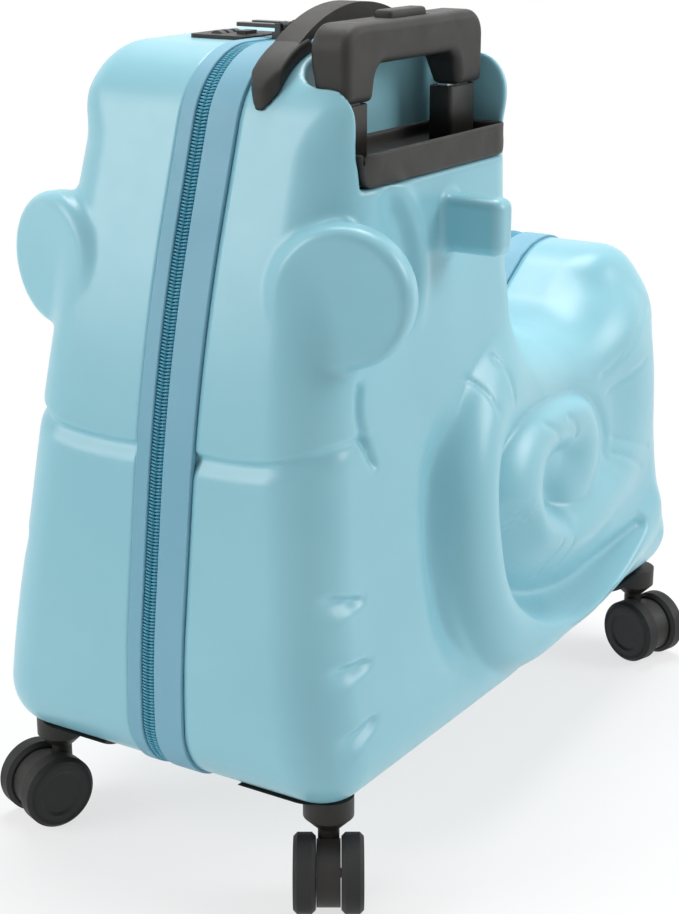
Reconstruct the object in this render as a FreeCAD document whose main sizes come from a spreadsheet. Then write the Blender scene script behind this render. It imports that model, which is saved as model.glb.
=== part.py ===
"""Ride-on suitcase: a hard two-shell case with spiral sides, four casters and a trolley handle.

Millimetres. X runs across the case (the trolley is on +X), Y along it (the discs face -Y), Z up from the floor.
"""
import FreeCAD, Part
import math
import os
import Sketcher
from FreeCAD import Placement, Rotation, Vector

# Driving sizes, each written once: name, value, meaning
SIZES = [
    ("case_length", 539.0, "front to tail of the two shells"),
    ("case_height", 447.0, "underside to top of the shells"),
    ("ground_clearance", 68.0, "floor to the underside of the shells"),
    ("foot_half_width", 141.0, "middle to side at the underside"),
    ("waist_half_width", 115.0, "middle to side at the waist"),
    ("top_half_width", 104.0, "middle to side at the top"),
    ("waist_height", 202.0, "underside to the waist"),
    ("case_edge_radius", 38.0, "rounding where a side meets the outline"),
    ("shell_wall", 3.5, "wall of the moulded shells"),
    ("cut_overrun", 20.0, "how far a cutting tool runs past what it cuts"),

    ("rim_inset", 1.5, "how far the rim under a band is set back"),
    ("band_proud", 2.0, "how far a band stands over the shell"),
    ("band_edge_radius", 1.0, "rounding of a band's outer edges"),
    ("mouth_gap", 10.0, "between the two rims, filled by the zip"),
    ("right_band_width", 21.5, "band on the right shell"),
    ("left_band_width", 10.5, "band on the left shell"),
    ("right_band_gap", 0.8, "shadow gap between right band and shell"),
    ("left_band_gap", 0.3, "gap between left band and shell"),

    ("coil_width", 4.6, "one half of the zip coil"),
    ("coil_gap", 0.2, "between the two halves of the coil"),
    ("coil_proud", 0.8, "how far the coil stands over the shell"),
    ("hinge_length", 400.0, "fabric hinge along the underside"),
    ("hinge_width", 40.0, "fabric hinge across the two rims"),
    ("hinge_thickness", 1.2, "fabric of the hinge"),
    ("hinge_end_gap", 3.0, "between the hinge and the ends of the zip"),
    ("seat_clearance", 0.3, "between a soft piece and what carries it"),

    ("spiral_length", 303.0, "spiral relief, front to tail"),
    ("spiral_height", 190.0, "spiral relief, foot to top"),
    ("spiral_middle_y", 63.5, "middle of the relief along the case"),
    ("spiral_middle_z", 190.0, "middle of the relief above the floor"),
    ("roll_half_width", 30.0, "half width of the outer roll"),
    ("roll_reach", 150.0, "middle of the case to the outer roll's crest"),
    ("scoop_radius", 17.0, "footrest scoop between two rolls"),
    ("scoop_lift", 3.0, "middle of the scoop outside the side"),

    ("disc_radius", 43.0, "hand disc at each front corner"),
    ("disc_thickness", 25.0, "hand disc, face to back"),
    ("disc_edge_radius", 7.0, "rounding of the disc's face"),
    ("disc_middle_x", 109.0, "disc face, middle of the case to its centre"),
    ("disc_middle_y", 221.0, "disc face, ahead of the origin"),
    ("disc_middle_z", 382.0, "disc face above the floor"),
    ("disc_turn", 16.6, "degrees that a disc is turned outwards"),
    ("stalk_radius", 30.0, "stalk between a disc and its corner"),
    ("stalk_length", 34.0, "stalk behind the disc"),

    ("peg_reach", 147.0, "middle of the case to a hand peg's end"),
    ("peg_depth", 20.0, "hand peg along the case"),
    ("peg_height", 36.0, "hand peg upright"),
    ("peg_middle_y", 87.0, "hand peg ahead of the origin"),
    ("peg_middle_z", 407.0, "hand peg above the floor"),
    ("peg_edge_radius", 5.0, "rounding of a hand peg"),

    ("pocket_back", 55.0, "middle of the case to the back of the trolley pocket"),
    ("pocket_length", 180.0, "trolley pocket along the case"),
    ("pocket_middle_y", 102.0, "middle of the pocket ahead of the origin"),
    ("pocket_floor", 440.0, "pocket floor above the ground"),
    ("pocket_corner_radius", 18.0, "upright corners of the pocket"),

    ("tray_clearance", 0.3, "tray inside the pocket"),
    ("tray_height", 23.0, "tray, floor to lip"),
    ("tray_floor", 12.0, "thickness of the tray's floor"),
    ("tray_wall", 3.2, "wall of the tray"),
    ("tray_proud", 0.6, "how far the tray's apron stands over the side"),
    ("sleeve_height", 34.0, "guide sleeve above the tray floor"),
    ("sleeve_wall", 4.5, "wall of a guide sleeve"),

    ("trolley_x", 78.0, "middle of the case to the trolley tubes"),
    ("tube_spacing", 132.0, "between the two trolley tubes"),
    ("outer_tube_width", 32.0, "outer tube along the case"),
    ("outer_tube_depth", 17.0, "outer tube across the case"),
    ("tube_wall", 1.2, "wall of every trolley tube"),
    ("tube_clearance", 0.4, "between one tube and the next"),
    ("tube_socket", 6.0, "outer tube inside the tray and the foot"),
    ("tube_hole_clearance", 1.0, "outer tube in the pocket floor"),
    ("foot_height", 18.0, "bracket under the outer tubes"),
    ("foot_margin", 5.0, "bracket around a tube"),
    ("tube_end_gap", 10.0, "between the lower ends of nested tubes"),
    ("tube_top_drop", 0.5, "middle tube below the sleeve's top"),
    ("grip_tube_length", 14.0, "inner tube inside the grip's leg"),

    ("grip_width", 172.0, "trolley grip along the case"),
    ("grip_depth", 28.0, "trolley grip across the case"),
    ("grip_bar", 29.0, "height of the grip's bar"),
    ("grip_leg", 38.0, "width of a grip leg at the bar"),
    ("grip_leg_foot", 33.0, "width of a grip leg at its foot"),
    ("grip_leg_length", 20.0, "grip leg below the bar"),
    ("grip_lift", 1.0, "grip leg above the sleeve"),
    ("grip_corner_radius", 16.0, "outer corners of the grip"),
    ("grip_edge_radius", 7.0, "rounding along the grip"),
    ("button_length", 43.0, "grip button along the case"),
    ("button_width", 13.0, "grip button across the case"),
    ("button_corner_radius", 4.3, "corners of the grip button"),
    ("button_proud", 5.0, "grip button over the bar"),
    ("button_travel", 4.0, "how far the button is pressed"),
    ("button_clearance", 0.3, "button in its slot"),
    ("button_depth", 8.0, "grip button inside the bar"),
    ("rod_radius", 2.0, "push rod inside a tube"),
    ("yoke_width", 6.0, "bar that joins the rods, across the case"),
    ("yoke_height", 5.0, "bar that joins the rods, upright"),
    ("rod_clearance", 0.8, "around the rods and their bar"),

    ("carry_x", 40.0, "middle of the case to the carry handle"),
    ("carry_base_width", 21.0, "end block across the case"),
    ("carry_base_thickness", 9.0, "end block over the shell"),
    ("carry_base_length", 46.0, "end block along the case"),
    ("carry_base_edge", 3.5, "bevel of an end block"),
    ("carry_span", 205.0, "carry handle, end to end"),
    ("carry_middle_y", 102.0, "middle of the carry handle ahead of the origin"),
    ("carry_rise", 25.0, "top of the strap over the shell"),
    ("strap_width", 18.0, "carry strap across the case"),
    ("strap_thickness", 6.0, "carry strap"),
    ("strap_end_drop", 4.0, "strap's ends below the shell's top"),
    ("pad_length", 84.0, "grip pad under the strap"),
    ("pad_thickness", 5.0, "grip pad at its middle"),

    ("slider_length", 12.0, "zip slider along the zip"),
    ("slider_width", 10.0, "zip slider across the zip"),
    ("slider_height", 4.5, "zip slider over the coil"),
    ("slider_corner_radius", 1.5, "corners of a slider"),
    ("slider_lift", 0.3, "zip slider above the coil"),
    ("slider_spacing", 17.0, "between the two sliders"),
    ("slider_middle_y", 106.0, "middle of the two sliders ahead of the origin"),
    ("bail_radius", 1.3, "pin that carries a pull"),
    ("bail_clearance", 0.1, "pull around its pin"),
    ("bail_height", 3.4, "pin above the slider"),
    ("bail_ear", 2.0, "ear at each end of the pin"),
    ("pull_length", 34.0, "zip pull from its pin"),
    ("pull_width", 7.0, "zip pull"),
    ("pull_thickness", 2.4, "zip pull"),
    ("pull_tip_radius", 2.3, "corners of a pull's free end"),
    ("pull_eye_radius", 3.0, "zip pull around its pin"),

    ("lock_start", 18.5, "middle of the case to the lock"),
    ("lock_reach", 46.0, "lock across the case"),
    ("lock_length", 42.0, "lock along the case"),
    ("lock_plate", 2.4, "lock plate over the shell"),
    ("lock_depth", 14.0, "lock body below the plate"),
    ("lock_flange", 4.0, "plate around the lock body"),
    ("lock_corner_radius", 5.0, "corners of the lock plate"),
    ("lock_fit", 0.3, "lock body in the shell"),
    ("dial_radius", 7.0, "combination dial"),
    ("dial_width", 5.0, "combination dial along its shaft"),
    ("dial_spacing", 8.0, "between dials"),
    ("dial_proud", 1.8, "dial over the plate"),
    ("dial_clearance", 0.5, "dial in its slot"),
    ("dial_setback", 31.0, "edge of the lock to the dials' shaft"),
    ("dial_shaft_radius", 1.5, "shaft of the dials"),
    ("shaft_clearance", 0.08, "dial on its shaft"),
    ("catch_length", 12.0, "lock button along the case"),
    ("catch_width", 8.0, "lock button across the case"),
    ("catch_height", 2.0, "lock button over the plate"),
    ("catch_corner_radius", 0.7, "corners of the lock button"),
    ("catch_travel", 3.0, "how far the lock button slides"),
    ("catch_setback", 15.0, "edge of the lock to its button"),
    ("catch_lift", 0.05, "lock button over the plate"),

    ("caster_x", 108.0, "middle of the case to a swivel axis"),
    ("caster_y", 231.0, "middle of the case to a swivel axis, along it"),
    ("caster_trail", 13.0, "axle behind the swivel axis"),
    ("wheel_radius", 25.0, "caster wheel"),
    ("wheel_width", 14.0, "caster wheel"),
    ("tyre_depth", 5.0, "tyre over the hub"),
    ("tyre_edge_radius", 2.5, "rounding of the tyre"),
    ("hub_dish", 1.2, "hollow in the hub's outer face"),
    ("hub_rim", 4.0, "rim round the hub's hollow"),
    ("hub_bevel", 2.0, "slope between the hub's rim and its hollow"),
    ("wheel_gap", 0.4, "wheel beside the fork"),
    ("fork_width", 15.0, "fork between the wheels"),
    ("fork_radius", 21.0, "round fork body"),
    ("neck_radius", 6.8, "fork neck under the mount"),
    ("neck_gap", 0.4, "fork neck below the mount"),
    ("stem_radius", 5.0, "swivel stem"),
    ("stem_length", 11.0, "swivel stem inside the mount"),
    ("stem_clearance", 0.08, "swivel stem in its bore"),
    ("axle_radius", 3.0, "wheel axle"),
    ("axle_clearance", 0.06, "hub on its axle"),
    ("axle_end_gap", 2.0, "hub face beyond the axle's end"),
    ("cup_radius", 16.0, "mount cup"),
    ("cup_nose_radius", 9.0, "mount cup at its lower face"),
    ("cup_drop", 16.0, "mount cup below the shells"),
    ("cup_dome", 7.0, "height of the cup's rounded lower part"),
    ("plate_thickness", 2.5, "corner plate of a mount"),
    ("plate_wrap", 5.0, "how far the plate wraps up the corner"),
    ("plate_inner_x", 54.0, "middle of the case to a plate's inner edge"),
    ("plate_inner_y", 181.0, "middle of the case to a plate's inner edge, along it"),
]

# Corners of the case outline: place along the length, height, rounding
OUTLINE_SHARES = [
    (-0.500, 0.000, 0.094),
    (-0.500, 0.183, 1.120),
    (-0.456, 0.604, 2.000),
    (-0.349, 1.000, 0.130),
    (0.026, 1.000, 0.112),
    (0.026, 0.519, 0.179),
    (0.232, 0.517, 0.157),
    (0.343, 0.604, 0.157),
    (0.5086, 0.613, 0.129),
    (0.4836, 0.206, 0.200),
    (0.5123, 0.000, 0.094),
]

# Middle line of the spiral roll from its inner end outwards: place along, height, half width, crest
ROLL_SHARES = [
    (0.008, 0.032, 0.37, 0.907),
    (0.107, 0.095, 0.43, 0.933),
    (0.094, 0.253, 0.47, 0.933),
    (-0.018, 0.295, 0.53, 0.933),
    (-0.190, 0.242, 1.03, 0.940),
    (-0.236, 0.053, 1.10, 0.947),
    (-0.078, -0.132, 0.63, 0.940),
    (0.137, -0.116, 0.63, 0.933),
    (0.239, 0.079, 0.67, 0.927),
    (0.120, 0.353, 0.43, 0.913),
    (-0.084, 0.432, 0.50, 0.920),
    (-0.358, 0.495, 0.83, 0.947),
    (-0.500, 0.184, 1.00, 0.993),
    (-0.441, -0.211, 1.00, 1.000),
    (-0.276, -0.432, 0.93, 1.007),
    (-0.045, -0.489, 0.83, 1.007),
    (0.219, -0.474, 0.83, 0.993),
    (0.417, -0.305, 0.87, 0.953),
    (0.500, -0.042, 0.80, 0.873),
]

# Middle line of the footrest scoop between two turns of the roll: place along, height
SCOOP_SHARES = [
    (-0.408, -0.079),
    (-0.322, -0.268),
    (-0.111, -0.332),
    (0.153, -0.311),
    (0.262, -0.232),
]

# Caster name: side of the case, end of the case, degrees it is swivelled at rest
CASTERS = {
    "front_right": (1, -1, 32.5),
    "front_left": (-1, -1, -21.0),
    "rear_right": (1, 1, 72.0),
    "rear_left": (-1, 1, 147.5),
}

doc = FreeCAD.newDocument("ride_on_suitcase")
sheet = doc.addObject("Spreadsheet::Sheet", "sizes")
for row, (alias, value, meaning) in enumerate(SIZES, start=1):
    sheet.set(f"A{row}", meaning)
    sheet.set(f"B{row}", str(value))
    sheet.setAlias(f"B{row}", alias)
doc.recompute()


class Cell:
    """A length that knows its value and the sheet expression it comes from."""

    def __init__(self, value, text):
        self.value = value
        self.text = text

    def __add__(self, other):
        return Cell(self.value + other.value, f"({self.text} + {other.text})")

    def __sub__(self, other):
        return Cell(self.value - other.value, f"({self.text} - {other.text})")

    def __neg__(self):
        return Cell(-self.value, f"(-{self.text})")

    def __mul__(self, factor):
        return Cell(self.value * factor, f"({self.text} * {factor})")

    def __truediv__(self, factor):
        return Cell(self.value / factor, f"({self.text} / {factor})")


class Sizes:
    """Sheet sizes by name: numbers for shapes made in code, cells for bound properties."""

    def __init__(self, make):
        for alias, _, _ in SIZES:
            setattr(self, alias, make(alias))


mm = Sizes(lambda alias: float(sheet.get(alias)))
cell = Sizes(lambda alias: Cell(float(sheet.get(alias)), f"sizes.{alias}"))
ZERO = Cell(0.0, "0")
pieces = []

X_AXIS = Vector(1, 0, 0)
Y_AXIS = Vector(0, 1, 0)
Z_AXIS = Vector(0, 0, 1)


# Document helpers

def piece(label, shape):
    """A sub-part whose shape is made in code."""
    made = doc.addObject("Part::Feature", label)
    made.Label = label
    made.Shape = shape
    made.Placement = shape.Placement
    pieces.append(made)
    return made


def new_body(label, placement=None):
    """An empty sub-part body that features are added to."""
    body = doc.addObject("PartDesign::Body", label)
    body.Label = label
    body.Placement = placement or Placement()
    pieces.append(body)
    return body


def closed_sketch(body, role, corners):
    """A closed sketch of straight lines on one of the body's own planes, every corner bound to the sheet."""
    sketch = body.newObject("Sketcher::SketchObject", f"{body.Name}_sketch")
    plane = next(item for item in body.Origin.OriginFeatures if item.Role == role)
    sketch.AttachmentSupport = [(plane, "")]
    sketch.MapMode = "FlatFace"
    points = [Vector(across.value, up.value, 0) for across, up in corners]
    count = len(points)
    for index in range(count):
        sketch.addGeometry(Part.LineSegment(points[index], points[(index + 1) % count]))
    for index in range(count):
        sketch.addConstraint(Sketcher.Constraint("Coincident", index, 2, (index + 1) % count, 1))
    for index, corner in enumerate(corners):
        for kind, length in zip(("DistanceX", "DistanceY"), corner):
            made = sketch.addConstraint(Sketcher.Constraint(kind, -1, 1, index, 1, length.value))
            sketch.setExpression(f"Constraints[{made}]", length.text)
    return sketch


def revolve(body, corners):
    """Turn a profile of radius and height about the body's own Z axis."""
    sketch = closed_sketch(body, "XZ_Plane", corners)
    made = body.newObject("PartDesign::Revolution", f"{body.Name}_turned")
    made.Profile = sketch
    made.ReferenceAxis = (sketch, ["V_Axis"])
    made.Angle = 360
    return made


def box(low, high):
    """A block between two corners."""
    return Part.makeBox(*(high - low), low)


def mirrored(shape):
    """The same form on the other side of the case."""
    return shape.mirror(Vector(), X_AXIS)


def upright_edges(shape, at_x):
    """Edges of a block that stand upright at one place across the case."""
    return [
        edge for edge in shape.Edges
        if abs(edge.BoundBox.XMax - at_x) < mm.tray_clearance
        and abs(edge.BoundBox.XMin - at_x) < mm.tray_clearance
        and edge.BoundBox.ZLength > edge.BoundBox.YLength
    ]


# Case outline and sides

case_bottom = mm.ground_clearance
case_top = mm.ground_clearance + mm.case_height
far_x = mm.foot_half_width + mm.case_edge_radius


def rounded_wire(corners):
    """Closed wire of straight runs and tangent arcs through corners of place, height and rounding."""
    count = len(corners)
    arcs = []
    for index, (place, height, radius) in enumerate(corners):
        corner = Vector(0, place, height)
        back = (Vector(0, *corners[index - 1][:2]) - corner).normalize()
        ahead = (Vector(0, *corners[(index + 1) % count][:2]) - corner).normalize()
        half_angle = back.getAngle(ahead) / 2
        reach = radius / math.tan(half_angle)
        inward = (back + ahead).normalize() * (radius / math.sin(half_angle) - radius)
        arcs.append((corner + back * reach, corner + inward, corner + ahead * reach))
    edges = []
    for index, (start, middle, end) in enumerate(arcs):
        edges.append(Part.Arc(start, middle, end).toShape())
        edges.append(Part.LineSegment(end, arcs[(index + 1) % count][0]).toShape())
    return Part.Wire(edges)


case_outline = rounded_wire([
    (mm.case_length * place, case_bottom + mm.case_height * height, mm.case_height * rounding)
    for place, height, rounding in OUTLINE_SHARES
])

side_circle = Part.Arc(
    Vector(mm.foot_half_width, 0, case_bottom),
    Vector(mm.waist_half_width, 0, case_bottom + mm.waist_height),
    Vector(mm.top_half_width, 0, case_top),
).toShape().Curve


def half_width(height, grow=0.0):
    """Middle of the case to its side at a height."""
    radius = side_circle.Radius - grow
    return side_circle.Center.x - math.sqrt(radius ** 2 - (height - side_circle.Center.z) ** 2)


def outline_slab(grow, x_from, x_to):
    """The case outline, grown outwards, as a slab across the case."""
    wire = case_outline.makeOffset2D(grow) if grow else case_outline
    slab = Part.Face(wire).extrude(Vector(x_to - x_from, 0, 0))
    slab.translate(Vector(x_from, 0, 0))
    return slab


def outline_ring(outer_grow, inner_grow, x_from, x_to):
    """A band that follows the outline."""
    return outline_slab(outer_grow, x_from, x_to).cut(outline_slab(inner_grow, x_from, x_to))


def case_block(grow):
    """Half of the case as a solid, from the parting plane to the hollow side, with rounded edges."""
    low = case_bottom - mm.cut_overrun
    high = case_top + mm.cut_overrun
    middle = (low + high) / 2
    start = -mm.case_length
    foot, waist, top = (Vector(half_width(at, grow), start, at) for at in (low, middle, high))
    inner_top = Vector(-mm.cut_overrun, start, high)
    inner_foot = Vector(-mm.cut_overrun, start, low)
    section = Part.Wire([
        Part.Arc(foot, waist, top).toShape(),
        Part.LineSegment(top, inner_top).toShape(),
        Part.LineSegment(inner_top, inner_foot).toShape(),
        Part.LineSegment(inner_foot, foot).toShape(),
    ])
    sides = Part.Face(section).extrude(Vector(0, 2 * mm.case_length, 0))
    block = outline_slab(grow, 0, far_x).common(sides)
    side_faces = [
        face for face in block.Faces
        if isinstance(face.Surface, Part.Cylinder) and face.Surface.Radius > mm.case_length * 2
    ]
    edges = [edge for face in side_faces for edge in face.Edges]
    return block.makeFillet(mm.case_edge_radius + grow, edges)


solid_half = case_block(0.0)
hollow_half = case_block(-mm.shell_wall)


# Spiral relief

def relief_sections(rows):
    """Circles square to a path over the right side: rows of place, height, radius and middle across."""
    path = Part.BSplineCurve()
    path.interpolate([Vector(0, along, up) for along, up, _, _ in rows])
    sections = []
    for along, up, radius, across in rows:
        ahead = path.tangent(path.parameter(Vector(0, along, up)))[0]
        circle = Part.Circle(Vector(across, along, up), ahead, radius)
        circle.XAxis = X_AXIS
        sections.append(Part.Wire(circle.toShape()))
    return sections


def spiral_rolls(inset):
    """Rolls of the snail-shell spiral on the right side, each stretch its own loft."""
    rows = []
    for along, up, half, crest in ROLL_SHARES:
        height = mm.spiral_middle_z + mm.spiral_height * up
        reach = mm.roll_reach * crest
        rise = reach - half_width(height)
        radius = ((mm.roll_half_width * half) ** 2 + rise ** 2) / (2 * rise)
        place = mm.spiral_middle_y + mm.spiral_length * along
        rows.append((place, height, radius - inset, reach - radius))
    sections = relief_sections(rows)
    stretch = 2
    rolls = [
        Part.makeLoft(sections[start:start + stretch + 1], True, False)
        for start in range(0, len(sections) - stretch, stretch)
    ]
    inner_end = sections[0].Edges[0].Curve
    return rolls + [Part.makeSphere(inner_end.Radius, inner_end.Center)]


def footrest_scoop(grow):
    """Hollow for a foot between the outer roll and the next, or with a wall the block around it."""
    rows = []
    for along, up in SCOOP_SHARES:
        height = mm.spiral_middle_z + mm.spiral_height * up
        place = mm.spiral_middle_y + mm.spiral_length * along
        rows.append((place, height, mm.scoop_radius + grow, half_width(height) + mm.scoop_lift))
    sections = relief_sections(rows)
    scoop = Part.makeLoft(sections, True, False)
    ends = [sections[0].Edges[0].Curve, sections[-1].Edges[0].Curve]
    return scoop.fuse([Part.makeSphere(end.Radius, end.Center) for end in ends])


def hand_disc():
    """Round hand-hold on the right front corner, with the stalk that carries it."""
    disc = Part.makeCylinder(mm.disc_radius, mm.disc_thickness)
    disc = disc.makeFillet(mm.disc_edge_radius, disc.Edges)
    stalk = Part.makeCylinder(mm.stalk_radius, mm.stalk_length, Vector(0, 0, mm.disc_thickness / 2))
    made = disc.fuse(stalk)
    face_middle = Vector(mm.disc_middle_x, -mm.disc_middle_y, mm.disc_middle_z)
    turned = Rotation(Z_AXIS, mm.disc_turn).multiply(Rotation(X_AXIS, -90))
    made.Placement = Placement(face_middle, turned)
    return made


def hand_peg():
    """Block that a rider holds, on the right side of the neck."""
    low = Vector(
        mm.top_half_width - mm.shell_wall, -mm.peg_middle_y - mm.peg_depth / 2,
        mm.peg_middle_z - mm.peg_height / 2,
    )
    peg = box(low, Vector(mm.peg_reach, low.y + mm.peg_depth, low.z + mm.peg_height))
    return peg.makeFillet(mm.peg_edge_radius, peg.Edges)


# Shells, bands, zip and hinge

mouth_half = mm.mouth_gap / 2
right_step = mouth_half + mm.right_band_width + mm.right_band_gap
left_step = mouth_half + mm.left_band_width + mm.left_band_gap


def moulded_half():
    """A right-hand shell with its relief, open at the mouth."""
    outside = solid_half.common(box(
        Vector(mouth_half, -mm.case_length, 0),
        Vector(far_x, mm.case_length, case_top + mm.cut_overrun),
    ))
    skin = outside.fuse([hand_disc(), hand_peg()] + spiral_rolls(0.0))
    skin = skin.cut(footrest_scoop(0.0))
    hollow = hollow_half.fuse(spiral_rolls(mm.shell_wall))
    return skin.cut(hollow.cut(footrest_scoop(mm.shell_wall)))


def rim_step(step):
    """What is taken off a shell's rim so that a band sits on it."""
    return outline_ring(mm.cut_overrun, -mm.rim_inset, mouth_half, step)


def pocket_block(grow):
    """Room for the trolley tray, or with its wall the block around it."""
    low = Vector(
        mm.pocket_back - grow, -mm.pocket_middle_y - mm.pocket_length / 2 - grow, mm.pocket_floor - grow,
    )
    high = Vector(far_x, low.y + mm.pocket_length + 2 * grow, case_top + mm.cut_overrun)
    block = box(low, high)
    return block.makeFillet(mm.pocket_corner_radius + grow, upright_edges(block, low.x))


tube_places = [
    -mm.pocket_middle_y - mm.tube_spacing / 2,
    -mm.pocket_middle_y + mm.tube_spacing / 2,
]


def tube_blocks(width, depth, low, high):
    """Two upright blocks at the trolley's tubes."""
    return [
        box(
            Vector(mm.trolley_x - depth / 2, place - width / 2, low),
            Vector(mm.trolley_x + depth / 2, place + width / 2, high),
        )
        for place in tube_places
    ]


def make_right_shell():
    pocket_wall = pocket_block(mm.shell_wall).common(solid_half)
    hole = 2 * mm.tube_hole_clearance
    holes = tube_blocks(
        mm.outer_tube_width + hole, mm.outer_tube_depth + hole,
        mm.pocket_floor - mm.cut_overrun, mm.pocket_floor + mm.cut_overrun,
    )
    cuts = [rim_step(right_step), pocket_block(0.0)] + holes
    return moulded.fuse(pocket_wall).cut(cuts).removeSplitter()


lock_low = Vector(-mm.lock_start - mm.lock_reach, -mm.slider_middle_y - mm.lock_length / 2, case_top)


def lock_well(grow):
    """Lock body below its plate, or with room the hole for it in the left shell."""
    inset = mm.lock_flange - grow
    return box(
        Vector(lock_low.x + inset, lock_low.y + inset, case_top - mm.lock_depth),
        Vector(
            lock_low.x + mm.lock_reach - inset, lock_low.y + mm.lock_length - inset, case_top + mm.lock_plate,
        ),
    )


def make_left_shell():
    shell = mirrored(moulded.cut(rim_step(left_step)))
    return shell.cut(lock_well(mm.lock_fit)).removeSplitter()


def make_band(width):
    """Trim over a shell's rim, its outer edges rounded."""
    slab = outline_slab(mm.band_proud, mouth_half, mouth_half + width)
    edges = [edge for edge in slab.Edges if edge.BoundBox.XLength < mm.coil_gap]
    slab = slab.makeFillet(mm.band_edge_radius, edges)
    return slab.cut(outline_slab(-mm.rim_inset, mouth_half, mouth_half + width))


def make_zip_tape():
    """Right half of the zip: an open run of coil that stops short of the hinge."""
    ring = outline_ring(mm.coil_proud, -mm.rim_inset, mm.coil_gap / 2, mm.coil_gap / 2 + mm.coil_width)
    reach = mm.hinge_length / 2 + mm.hinge_end_gap
    return ring.cut(box(
        Vector(-mouth_half, -reach, 0),
        Vector(mouth_half, reach, case_bottom + mm.case_edge_radius),
    ))


def make_hinge_strip():
    """Fabric across the two rims, inside the case along its floor."""
    seat = case_bottom + mm.shell_wall + mm.seat_clearance
    return box(
        Vector(-mm.hinge_width / 2, -mm.hinge_length / 2, seat),
        Vector(mm.hinge_width / 2, mm.hinge_length / 2, seat + mm.hinge_thickness),
    )


moulded = moulded_half()
piece("right_shell", make_right_shell())
piece("left_shell", make_left_shell())
piece("right_rim_band", make_band(mm.right_band_width))
piece("left_rim_band", mirrored(make_band(mm.left_band_width)))
piece("right_zip_tape", make_zip_tape())
piece("left_zip_tape", mirrored(make_zip_tape()))
piece("hinge_strip", make_hinge_strip())


# Trolley handle

tray_floor_top = mm.pocket_floor + mm.tray_floor
sleeve_top = tray_floor_top + mm.sleeve_height
middle_width = mm.outer_tube_width - 2 * (mm.tube_wall + mm.tube_clearance)
middle_depth = mm.outer_tube_depth - 2 * (mm.tube_wall + mm.tube_clearance)
inner_width = middle_width - 2 * (mm.tube_wall + mm.tube_clearance)
inner_depth = middle_depth - 2 * (mm.tube_wall + mm.tube_clearance)
foot_bottom = case_bottom + mm.shell_wall
outer_low = foot_bottom + mm.foot_height - mm.tube_socket
outer_high = mm.pocket_floor + mm.tube_socket
middle_low = outer_low + mm.tube_end_gap
middle_high = sleeve_top - mm.tube_top_drop
inner_low = middle_low + mm.tube_end_gap
grip_foot = sleeve_top + mm.grip_lift
bar_low = grip_foot + mm.grip_leg_length
bar_high = bar_low + mm.grip_bar
inner_high = grip_foot + mm.grip_tube_length


def make_tray():
    """Black bezel in the pocket, with an apron flush in the side and a guide sleeve round each tube."""
    gap = mm.tray_clearance
    low = Vector(
        mm.pocket_back + gap, -mm.pocket_middle_y - mm.pocket_length / 2 + gap, mm.pocket_floor,
    )
    high = Vector(far_x, low.y + mm.pocket_length - 2 * gap, mm.pocket_floor + mm.tray_height)
    tub = box(low, high)
    tub = tub.makeFillet(mm.pocket_corner_radius - gap, upright_edges(tub, low.x))
    tub = tub.common(case_block(mm.tray_proud))
    wall = Vector(mm.tray_wall, mm.tray_wall, 0)
    well = box(
        Vector(low.x, low.y, tray_floor_top) + wall,
        Vector(mm.top_half_width, high.y, case_top) - wall,
    )
    well = well.makeFillet(mm.pocket_corner_radius - gap - mm.tray_wall, upright_edges(well, low.x + wall.x))
    guide = 2 * mm.tube_clearance
    sleeve = guide + 2 * mm.sleeve_wall
    sleeves = tube_blocks(middle_width + sleeve, middle_depth + sleeve, tray_floor_top, sleeve_top)
    sleeves = [one.makeFillet(mm.sleeve_wall, upright(one)) for one in sleeves]
    bores = tube_blocks(middle_width + guide, middle_depth + guide, mm.pocket_floor, sleeve_top)
    sockets = tube_blocks(mm.outer_tube_width, mm.outer_tube_depth, mm.pocket_floor, outer_high)
    return tub.cut(well).fuse(sleeves).cut(bores + sockets)


def upright(shape):
    """All upright edges of a block."""
    return [edge for edge in shape.Edges if edge.BoundBox.ZLength > edge.BoundBox.XLength + edge.BoundBox.YLength]


def make_tubes(width, depth, low, high):
    """A pair of flat tubes, open at both ends."""
    outside = tube_blocks(width, depth, low, high)
    wall = 2 * mm.tube_wall
    inside = tube_blocks(width - wall, depth - wall, low, high)
    return Part.makeCompound([
        outer.makeFillet(2 * mm.tube_wall, upright(outer)).cut(inner.makeFillet(mm.tube_wall, upright(inner)))
        for outer, inner in zip(outside, inside)
    ])


def make_foot():
    """Bracket on the case floor that holds the outer tubes."""
    margin = Vector(mm.foot_margin, mm.foot_margin, 0)
    low = Vector(mm.trolley_x - mm.outer_tube_depth / 2, tube_places[0] - mm.outer_tube_width / 2, foot_bottom)
    high = Vector(
        mm.trolley_x + mm.outer_tube_depth / 2, tube_places[1] + mm.outer_tube_width / 2,
        foot_bottom + mm.foot_height,
    )
    bracket = box(low - margin, high + margin)
    bracket = bracket.makeFillet(mm.foot_margin, upright(bracket))
    return bracket.cut(tube_blocks(mm.outer_tube_width, mm.outer_tube_depth, outer_low, high.z))


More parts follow.
